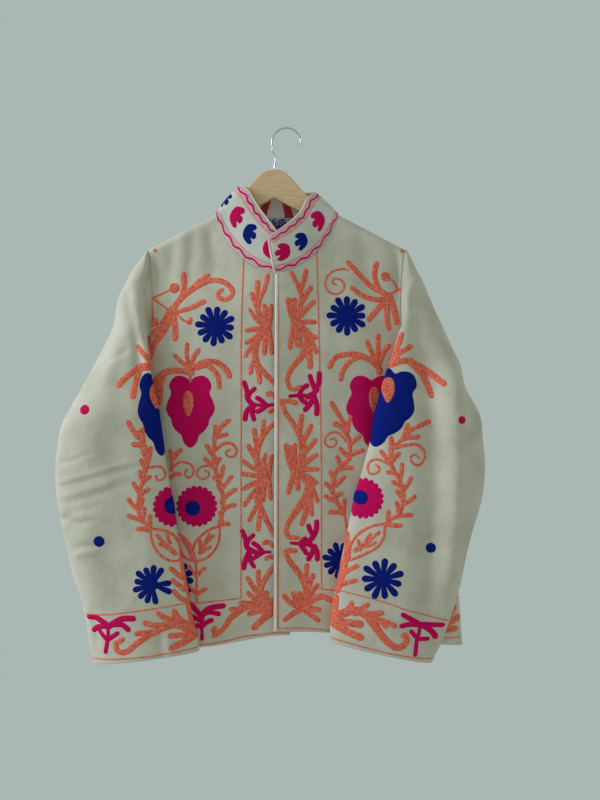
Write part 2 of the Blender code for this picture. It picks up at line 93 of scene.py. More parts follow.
# Hem height of each panel: (across, z)
HEMS = {
    "front_right": (
        (-0.021, -0.7725), (0.015, -0.7754), (0.065, -0.7844), (0.115, -0.7919), (0.287, SIDE_HEM_Z),
    ),
    "front_left": (
        (-0.021, -0.7670), (0.010, -0.7672), (0.075, -0.7694), (0.150, -0.7780), (0.287, SIDE_HEM_Z),
    ),
    "back": ((0.0, -0.7945), (0.287, SIDE_HEM_Z)),
}
ARMHOLE_ROWS = (0.005, 0.010, 0.028, 0.055, 0.085, 0.115, 0.145, 0.172, 0.196, 0.216, SHOULDER_Z - ARMPIT_Z)
NECK_COLUMNS = 27
NECK_CROWDING = 0.9

# Sleeve rings below the armpit: (outer across, outer z, fold across, fold z)
SLEEVE_OVALS = {
    "sleeve_right": (
        (0.320, -0.449, 0.177, -0.425), (0.329, -0.486, 0.171, -0.467), (0.333, -0.524, 0.165, -0.506),
        (0.330, -0.569, 0.158, -0.548), (0.323, -0.609, 0.150, -0.593), (0.315, -0.647, 0.144, -0.636),
        (0.306, -0.684, 0.137, -0.677), (0.294, -0.720, 0.131, -0.713), (0.287, -0.752, 0.126, -0.740),
        (0.282, -0.783, 0.119, -0.767), (0.275, -0.812, 0.114, -0.792),
    ),
    "sleeve_left": (
        (0.306, -0.437, 0.148, -0.437), (0.312, -0.479, 0.141, -0.476), (0.315, -0.524, 0.130, -0.518),
        (0.310, -0.569, 0.118, -0.561), (0.298, -0.609, 0.108, -0.606), (0.286, -0.648, 0.100, -0.647),
        (0.274, -0.687, 0.093, -0.684), (0.264, -0.722, 0.086, -0.714), (0.255, -0.753, 0.083, -0.737),
        (0.246, -0.783, 0.081, -0.758), (0.234, -0.811, 0.081, -0.778),
    ),
}
SLEEVE_START = 0.005
SLEEVE_HEAD_FORWARD = 0.90
SLEEVE_HEAD_BACK = 0.25
SLEEVE_HEAD_DROP = 0.45
SLEEVE_ARMPIT_LIFT = 0.05
SLEEVE_FRONT_Y = -0.084
SLEEVE_BACK_Y = -0.030
SLEEVE_OUTER_Y = -0.042
SLEEVE_FOLD_Y = -0.058
SLEEVE_FLATNESS = 0.75
FOLD_SHARE = 0.375
BODY_CLEARANCE = 0.0040
SIDE_FADE = 0.010

# Two rings in the sleeve head, from the crown down the front and up the back: (across, y, z)
SLEEVE_HEADS = {
    "sleeve_right": (
        ((0.2230, -0.006, -0.2500), (0.2075, -0.030, -0.2720), (0.1965, -0.040, -0.3050),
         (0.1935, -0.046, -0.3560), (0.2320, -0.014, -0.4250), (0.2370, 0.002, -0.4020),
         (0.2260, 0.010, -0.3400), (0.2240, 0.010, -0.2880)),
        ((0.2560, -0.016, -0.3200), (0.2340, -0.050, -0.3370), (0.2060, -0.060, -0.3600),
         (0.1870, -0.058, -0.3850), (0.2160, -0.038, -0.4160), (0.2520, -0.023, -0.4100),
         (0.2640, -0.006, -0.3850), (0.2630, -0.001, -0.3550)),
    ),
    "sleeve_left": (
        ((0.2290, -0.006, -0.2480), (0.2105, -0.030, -0.2680), (0.1945, -0.040, -0.2980),
         (0.1840, -0.047, -0.3450), (0.2320, -0.015, -0.4250), (0.2370, 0.002, -0.4020),
         (0.2270, 0.010, -0.3400), (0.2270, 0.010, -0.2850)),
        ((0.2550, -0.016, -0.3320), (0.2320, -0.052, -0.3400), (0.1960, -0.063, -0.3560),
         (0.1640, -0.060, -0.3830), (0.2050, -0.038, -0.4170), (0.2480, -0.025, -0.4110),
         (0.2630, -0.006, -0.3880), (0.2620, -0.001, -0.3620)),
    ),
}

# Upper edge of the collar from the centre back to each front end: (place along the collar, across, y, z)
COLLAR_TOP = {
    "right": (
        (0.00, 0.0000, 0.0200, -0.0965), (0.22, 0.0300, 0.0185, -0.0935), (0.38, 0.0500, 0.0135, -0.0885),
        (0.47, 0.0568, 0.0020, -0.0862), (0.58, 0.0446, -0.0130, -0.0988), (0.72, 0.0295, -0.0190, -0.1237),
        (0.84, 0.0146, -0.0225, -0.1438), (1.00, -0.0030, -0.0280, -0.1665),
    ),
    "left": (
        (0.00, 0.0000, 0.0200, -0.0965), (0.22, 0.0320, 0.0185, -0.0970), (0.38, 0.0530, 0.0130, -0.0975),
        (0.47, 0.0603, 0.0020, -0.0980), (0.58, 0.0482, -0.0130, -0.1105), (0.72, 0.0375, -0.0195, -0.1320),
        (0.84, 0.0200, -0.0285, -0.1500), (1.00, -0.0106, -0.0375, -0.1734),
    ),
}
COLLAR_BACK_SHARE = 0.44
COLLAR_END_SHARE = 0.97
COLLAR_ROWS = 24
COLLAR_BULGE = 0.003
COLLAR_OUTWARD_ACROSS = 0.9
COLLAR_OUTWARD_DEPTH = 1.2
FOOT_GAP = 0.0003
PIPING_RADIUS = 0.0016

# Hanger
HANGER_HALF_THICKNESS = 0.0055
HANGER_EDGE_ROUND = 0.002
HANGER_CENTRE = -0.0055
HANGER_LEAN = radians(0.75)
HANGER_END = 0.187
HANGER_TOP = ((0.0, -0.0630), (0.014, -0.0655), (0.027, -0.0760), (0.046, -0.0985), (0.070, -0.1245),
              (0.096, -0.1405), (0.140, -0.1598), (HANGER_END, -0.1866))
HANGER_BOTTOM = ((0.0, -0.1070), (0.033, -0.1250), (0.075, -0.1480), (0.130, -0.1750), (HANGER_END, -0.2030))
HANGER_STEPS = 48
HANGER_TIP_TURNS = (75, 60, 45, 30, 15, 0, -15, -30, -45, -60, -75)
HANGER_TIP_BLUNTNESS = 0.8

# Hook wire
WIRE_RADIUS = 0.0015
BOW_RADIUS = 0.0225
BOW_CENTRE_Z = -(BOW_RADIUS - WIRE_RADIUS)
BOW_START = radians(12)
BOW_END = radians(200)
BOW_TURNS = 48
STEM = ((-0.0212, -0.0330), (-0.0178, -0.0415), (-0.0166, -0.0480), (-0.0180, -0.0545), (-0.0184, -0.0585),
        (-0.0184, -0.0626))
STEM_STEPS = 40
CAP_RADIUS = 0.0022
CAP_LENGTH = 0.0070
CAP_RINGS = 6

# Rounded ends of a cord: (share of its radius that is left, how many radii further on)
CORD_TIPS = ((0.7, 0.6), (0.05, 0.85))

# Fine meshes
SHOULDER_COLUMNS = 34
ROLL_DROPS = (0.0, 0.0003, 0.0008, 0.00134, 0.0022, 0.0035, 0.005, 0.0070, 0.010)
ROW_STEP = 0.004
SLEEVE_AROUND = 150
SLEEVE_STEPS = 15
LINING_SHELL = 0.0006
LINING_GAP = 0.0006
LINING_WIDTH_SHARE = 0.90
LINING_START = 0.006
LINING_END = 0.560
PIPING_LIFT = 0.8

# The back's hem rises in its middle: how far, from which share of the way down, and how wide
BACK_HEM_RISE = 0.015
BACK_HEM_START = 0.85
BACK_HEM_RUN = 0.15
BACK_HEM_HALF = 0.18
BACK_HEM_FADE = 0.06

# Folded edge of the upper front
EDGE_FOLD = 0.0052
EDGE_LIFT = 0.0016
EDGE_BACK_SHARE = 0.1
EDGE_START = 0.004
EDGE_RUN = 0.994
EDGE_ROWS = 150
EDGE_TURNS = 8

# Unevenness of the cloth: height of broad and small waves in millimetres, and waves for each metre
WAVE_BROAD = 1.6
WAVE_SMALL = 0.45
WAVE_BROAD_SCALE = (14, 9, 7)
WAVE_SMALL_SCALE = (45, 30, 28)

# Creases: share of their length over which they fade, how many widths they reach, and how sharply
# those of the front give way to those of the back round a sleeve
CREASE_FADE = 0.22
CREASE_REACH = 2.5
FACING_SHARPNESS = 1.2

# Rows, columns and rings from a seam over which creases and waves grow to their full height
HELD_ROWS = 8
HELD_COLUMNS = 3
HELD_RINGS = 6

# Where in the noise each piece of cloth takes its waves from
WAVE_SEEDS = {
    "front_right": 3.1, "front_left": 7.7, "back": 12.3, "sleeve_right": 21.9, "sleeve_left": 33.4,
}

# Search for the cloth: how far off it starts, and how far beside the cloth a point is drawn to its edge
REACH = 0.30
EDGE_PULL = 0.012
EDGE_HALVINGS = 4

# Strokes of thread: length of a step in millimetres, fewest steps, places across, rounded ends
STROKE_STEP = 3.0
STROKE_FEWEST = 6
STROKE_SECTION = (-1.0, -0.86, -0.5, 0.0, 0.5, 0.86, 1.0)
CAP_STEPS = (1.0, 0.92, 0.7, 0.38)
CAP_LEAST = 0.02
CAP_SINK = 0.5

# Heights of thread work, in millimetres; THREAD_SLOPE is the height for each of half width
THREAD_HEIGHT = 0.95
THREAD_SLOPE = 0.45
THREAD_SINK = 0.15
LINE_HEIGHT = 0.7
COLLAR_THREAD = 0.8

# Filled shapes: points round them, rings from the middle out, and how steep their rim is
PATCH_TURNS = 120
PATCH_EDGE_POWER = 10
PATCH_RINGS = (0.004, 0.12, 0.24, 0.36, 0.48, 0.6, 0.7, 0.8, 0.88, 0.94, 0.975, 1.0)
CIRCLE_STEPS = 8
SCALLOP_STEPS = 6
SCALLOP_ROUNDNESS = 0.7

# Chain stitch in metres: distance between its rows, and length of a link
CHAIN_ROW = 0.0020
CHAIN_LINK = 0.0026

# A rosette's petals: where each starts and is halfway, how it widens, and how uneven their lengths are
PETAL_START = 0.12
PETAL_HALFWAY = 0.5
PETAL_WIDENING = 0.55
PETAL_UNEVEN = 0.06
PETAL_TURN = 2.7
ROSETTE_HEART = 0.31

# Metres up the collar for which its thread work is laid out
COLLAR_NOMINAL = 0.060

# Bands along the collar's edges, in millimetres; COLLAR_BANDS is (up, inner line up, swing)
BAND_END = 3
BAND_STEP = 6
BAND_WAVE = 23.0
BAND_SWING = 1.7
WAVE_STEPS = 6
COLLAR_BANDS = ((5.0, 10.5, BAND_SWING), (54.5, 49.0, 0.7 * BAND_SWING))
BAND_WIDTH = 8.4
BAND_HEIGHT = 0.45
BAND_LINE_WIDTH = 1.4
BAND_LINE_HEIGHT = 0.6
BAND_WAVE_WIDTH = 2.9
BAND_WAVE_HEIGHT = 1.1

# How much taller than wide a blossom is drawn
BLOSSOM_TALLER = 1.08

# Stripes of the collar's lining: one red and one white stripe together, and where the first starts
STRIPE_PAIR = 0.032
STRIPE_SHIFT = 0.14

# The centre strip and the flowering tree as they are repeated on the back, in millimetres
STRIP_EDGE = 56
TREE_TOP = 345
TREE_FOOT = 715
TREE_MIDDLE = -124
TREE_STEM = 10

# Floor, and lights: (name, place, target, size, watts, colour)
FLOOR_Z = -1.50
FLOOR_RADIUS = 1.1
FLOOR_SIDES = 96
LIGHTS = (
    ("key", (-2.4, -0.55, 0.55), (0.0, 0.0, -0.45), 1.0, 47.0, "#E2EFFF"),
    ("behind", (0.4, 1.6, 0.5), (0.0, 0.0, -0.45), 1.3, 12.0, "#FFFFFF"),
)

# Flowers of round-ended petals: surface, thread, centre (across, drop), radius, petals, width, lean, missing
ROSETTES = (
    ("front_right", "navy", (-92, 307), 30.0, 12, 10.5, 6.0, ()),
    ("front_right", "navy", (-152, 689), 29.0, 12, 10.5, 6.0, ()),
    ("front_left", "navy", (107, 291), 30.0, 12, 10.5, 0.0, ()),
    ("front_left", "navy", (97, 661), 27.0, 12, 9.5, 12.0, ()),
    ("sleeve_right", "navy", (-181, 690), 29.0, 13, 9.5, 4.0, (2, 5)),
    ("sleeve_left", "navy", (157, 682), 31.0, 11, 10.5, 8.0, ()),
)

# Discs: surface, thread, centre, radius, scallops, depth of a scallop, height
DISCS = (
    ("front_right", "magenta", (-120, 579), 32.0, 20, 3.4, 1.0),
    ("front_right", "navy", (-126, 582), 12.5, 0, 0.0, 1.9),
    ("sleeve_right", "magenta", (-150, 576), 32.0, 20, 3.4, 1.0),
    ("sleeve_right", "navy", (-152, 575), 14.5, 0, 0.0, 1.9),
    ("sleeve_left", "magenta", (129, 564), 31.0, 20, 3.4, 1.0),
    ("sleeve_left", "navy", (126, 563), 11.5, 0, 0.0, 1.9),
    ("sleeve_right", "magenta", (-282, 433), 7.4, 0, 0.0, 1.0),
    ("sleeve_right", "navy", (-260, 627), 8.2, 0, 0.0, 1.0),
    ("sleeve_left", "navy", (229, 637), 7.6, 0, 0.0, 1.0),
    ("sleeve_left", "magenta", (273, 448), 6.0, 0, 0.0, 1.0),
    ("front_right", "coral", (-156, 248), 8.0, 0, 0.0, 1.4),
    ("front_right", "coral", (-187, 300), 8.0, 0, 0.0, 1.4),
    ("front_left", "coral", (167, 230), 7.5, 0, 0.0, 1.4),
    ("front_right", "coral", (-187, 189), 3.2, 0, 0.0, 1.0),
    ("front_left", "coral", (193, 189), 3.2, 0, 0.0, 1.0),
)

# Right halves of a lobed fruit and of its drop, from top to bottom
FRUIT = ((0, -40), (8, -45), (19, -47), (28, -42), (33, -31), (30, -20), (35, -8), (38, 3), (35, 13),
         (30, 20), (28, 29), (22, 38), (14, 45), (11, 54), (6, 61), (0, 64))
DROP = ((0, -20.7), (4, -19), (7.3, -14), (8.7, -5), (8.3, 3), (6.5, 10), (3.5, 17), (0, 21))

# Fruits and drops: surface, thread, right half, centre, width and height times, lean, height of the thread
FRUITS = (
    ("front_right", "magenta", FRUIT, (-130, 428), 1.0, 1.0, 0, 1.0),
    ("front_right", "coral", DROP, (-133, 424), 1.0, 1.0, 0, 1.9),
    ("front_left", "magenta", FRUIT, (144, 428), 1.03, 1.0, 0, 1.0),
    ("front_left", "coral", DROP, (148, 418), 1.0, 1.0, 0, 1.9),
    ("sleeve_left", "navy", FRUIT, (165, 421), 1.1, 1.1, 16, 1.5),
    ("sleeve_left", "coral", DROP, (167, 404), 1.15, 1.0, 3, 2.4),
    ("sleeve_right", "navy", FRUIT, (-174, 430), 0.80, 1.14, -4, 1.0),
    ("sleeve_right", "coral", DROP, (-179, 413), 0.95, 0.95, -8, 1.9),
)

# Running lines: surface, width, points
LINES = (
    ("front_left", 2.2, ((2, 233), (3, 300), (3, 400), (3, 500), (3, 600), (3, 700), (3, 762))),
    ("front_left", 2.0, ((3, 762), (30, 762), (60, 764), (90, 768), (140, 773), (200, 779), (281, 782))),
    ("front_left", 2.2, ((61, 180), (63, 260), (65, 350), (67, 450), (68, 550), (68, 650), (68, 704))),
    ("front_left", 2.2, ((68, 704), (110, 707), (160, 712), (220, 718), (279, 722))),
    ("front_right", 2.2, ((-49, 180), (-51, 240), (-53, 330), (-53, 430), (-53, 530), (-53, 640),
        (-53, 718))),
    ("front_right", 2.2, ((-57, 718), (-90, 722), (-140, 728), (-190, 734), (-262, 738), (-290, 738))),
    ("front_right", 2.2, ((19, 768), (-14, 771), (-50, 776), (-85, 784), (-113, 788), (-180, 790),
        (-262, 790))),
    ("back", 2.2, ((-262, 782), (-180, 780), (-60, 772), (0, 771), (60, 772), (180, 780), (262, 782))),
    ("back", 2.2, ((-53, 200), (-53, 400), (-53, 718))),
    ("back", 2.2, ((53, 200), (53, 400), (53, 718))),
    ("sleeve_right", 2.0, ((-284, 737), (-240, 734), (-190, 727), (-150, 722), (-112, 718))),
    ("sleeve_right", 2.0, ((-276, 803), (-230, 800), (-180, 795), (-140, 789), (-106, 784))),
    ("sleeve_left", 2.0, ((76, 697), (120, 706), (160, 716), (200, 730), (256, 746))),
    ("sleeve_left", 2.0, ((76, 770), (120, 780), (160, 790), (200, 798), (236, 804))),
)

# Right half of a blossom with a round back and three fingers, from its back to the middle finger's tip
BLOSSOM = ((0, -11), (5, -10.5), (9, -8.2), (11.8, -4), (13.2, 0), (14.2, 4.5), (13, 8.5), (10.6, 10.4),
           (7.4, 7.5), (5.2, 5.4), (4.7, 7.8), (4.9, 11.2), (3, 13.7), (0, 14.6))

# Blossoms on the collar: thread, place along it (from the left front end where negative), up, times, lean
BLOSSOMS = (
    ("magenta", 12, 30, 0.92, 88),
    ("navy", 53, 31, 0.90, 80),
    ("magenta", 88, 31, 0.95, 80),
    ("magenta", -19, 28, 0.95, 278),
    ("navy", -53, 29, 0.88, 276),
    ("magenta", -97, 31, 1.0, 280),
    ("navy", 126, 31, 0.88, 100),
    ("navy", -150, 30, 0.88, 262),
    ("magenta", 163, 30, 0.92, 90),
    ("magenta", -187, 30, 0.92, 270),
    ("navy", 203, 30, 0.88, 90),
)

# Creases and troughs as seen from the front: lift, width, then the points as across, drop, across,
# drop, all in millimetres
CREASES = {
    "back": (
        (-2.5, 12, -60, 190, -40, 300, -50, 420), (2.2, 14, 70, 200, 80, 330, 60, 450),
        (-2.0, 16, 20, 480, 40, 600, 30, 760), (2.4, 18, -120, 480, -140, 600, -150, 770),
        (-2.6, 10, -150, 200, -165, 280, -175, 370), (-2.6, 10, 150, 200, 168, 290, 180, 370),
        (2.0, 12, 140, 520, 170, 620, 180, 760),
    ),
    "sleeve_right_back": (
        (3.0, 12, -230, 330, -250, 450, -260, 560), (-3.0, 9, -290, 480, -240, 500, -200, 490),
        (2.4, 8, -300, 510, -250, 530, -210, 520), (-2.4, 14, -220, 560, -210, 660, -190, 760),
    ),
    "sleeve_left_back": (
        (3.0, 12, 225, 330, 240, 450, 245, 560), (-3.0, 9, 285, 480, 235, 505, 190, 495),
        (2.4, 8, 290, 515, 240, 535, 195, 525), (-2.4, 14, 210, 560, 190, 660, 160, 760),
    ),
    "front_right": (
        (-1.8, 10.5, -157, 174, -163, 211, -175, 256), (1.2, 10.5, -144, 168, -147, 211, -151, 253),
        (-1.6, 9.0, -130, 162, -131, 200, -133, 244), (1.0, 9.0, -116, 159, -115, 200, -113, 238),
        (-1.4, 9.0, -103, 156, -97, 193, -94, 230), (-3.0, 12.0, -187, 211, -189, 245, -192, 286),
        (1.4, 13.5, -175, 211, -180, 268, -181, 336), (-1.6, 19.5, -82, 268, -64, 389, -58, 524),
        (-1.4, 24.0, -107, 479, -97, 600, -73, 705), (1.6, 27.0, -61, 524, -67, 630, -73, 735),
        (-1.0, 4.5, -26, 455, -15, 464, -5, 470), (-1.0, 4.5, -21, 578, -12, 588, -5, 600),
        (1.2, 21.0, -130, 509, -151, 630, -145, 720), (-1.6, 13.5, -46, 720, -46, 750, -52, 780),
        (1.4, 15.0, -76, 728, -79, 758, -85, 788),
    ),
    "front_left": (
        (-2.4, 12.0, 184, 211, 187, 245, 190, 275), (-4.2, 6.0, 181, 190, 185, 222, 191, 262),
        (1.4, 13.5, 153, 174, 169, 211, 178, 253), (-1.4, 10.5, 129, 168, 138, 211, 144, 253),
        (1.2, 12.0, 111, 165, 114, 211, 114, 256), (-1.2, 10.5, 87, 165, 87, 211, 86, 256),
        (-1.0, 4.5, 4, 254, 15, 251, 24, 254), (-0.9, 4.5, 4, 333, 15, 328, 25, 325),
        (-0.9, 4.5, 4, 461, 15, 465, 25, 467), (1.5, 19.5, 71, 313, 75, 464, 75, 660),
        (-1.6, 22.5, 93, 389, 99, 509, 93, 660), (-1.2, 18.0, 36, 660, 40, 720, 45, 768),
        (1.4, 21.0, 114, 268, 126, 389, 129, 509),
    ),
    "sleeve_left": (
        (13.0, 19.0, 240, 290, 262, 375, 267, 522, 260, 640, 250, 760),
        (-4.0, 10.0, 282, 380, 292, 430, 294, 520, 280, 620),
        (-9.0, 17.0, 220, 310, 227, 419, 230, 566, 222, 720), (2.0, 8.0, 268, 360, 283, 385, 298, 420),
        (-1.6, 4.5, 240, 430, 262, 436, 290, 432), (3.0, 7.5, 192, 271, 204, 248, 219, 230),
        (-3.5, 7.5, 199, 289, 213, 265, 227, 254), (-2.5, 9.0, 219, 265, 213, 316, 211, 360),
        (2.5, 9.0, 201, 271, 192, 316, 183, 360), (-1.4, 3.8, 227, 460, 245, 463, 266, 467),
        (-1.6, 6.0, 275, 537, 292, 522, 307, 516), (2.2, 18.0, 177, 389, 166, 492, 148, 625),
        (-1.8, 15.0, 260, 699, 248, 731, 242, 772), (2.5, 9.0, 219, 761, 227, 778, 224, 799),
        (-3.0, 6.0, 230, 772, 236, 787, 227, 805),
    ),
    "sleeve_right": (
        (15.0, 19.0, -224, 200, -226, 245, -218, 310),
        (-1.2, 4.0, -322, 549, -286, 539, -235, 524, -200, 516),
        (1.4, 4.0, -322, 541, -286, 531, -235, 516, -200, 508),
        (-1.1, 4.0, -318, 596, -296, 586, -262, 574), (1.2, 4.5, -316, 606, -290, 596, -262, 586),
        (-1.4, 4.0, -322, 512, -300, 508, -276, 498), (-1.8, 5.0, -300, 640, -284, 634, -262, 632),
        (1.8, 5.0, -298, 650, -284, 644, -262, 642),
        (-4.0, 7.5, -219, 246, -215, 286, -207, 338, -203, 377),
        (4.5, 8.0, -200, 212, -212, 249, -206, 316, -190, 372),
        (-6.0, 6.0, -191, 202, -198, 245, -193, 290, -188, 330),
        (3.0, 13.5, -232, 271, -241, 330, -253, 389), (-2.8, 21.0, -226, 389, -235, 478, -253, 522),
        (1.6, 5.0, -318, 562, -282, 552, -223, 533), (-1.4, 4.5, -318, 572, -279, 563, -229, 546),
        (2.2, 6.0, -318, 578, -303, 590, -279, 587), (-2.4, 6.0, -321, 593, -303, 601, -279, 598),
        (-2.0, 4.5, -262, 369, -244, 357, -223, 345), (2.4, 24.0, -282, 610, -271, 684, -259, 728),
        (-3.0, 22.5, -253, 610, -241, 669, -229, 713), (2.4, 18.0, -200, 537, -185, 625, -167, 713),
        (-2.5, 7.5, -271, 731, -265, 758, -268, 790), (2.0, 7.5, -162, 758, -159, 775, -153, 796),
        (-2.2, 6.0, -170, 763, -170, 781, -165, 799),
    ),
}

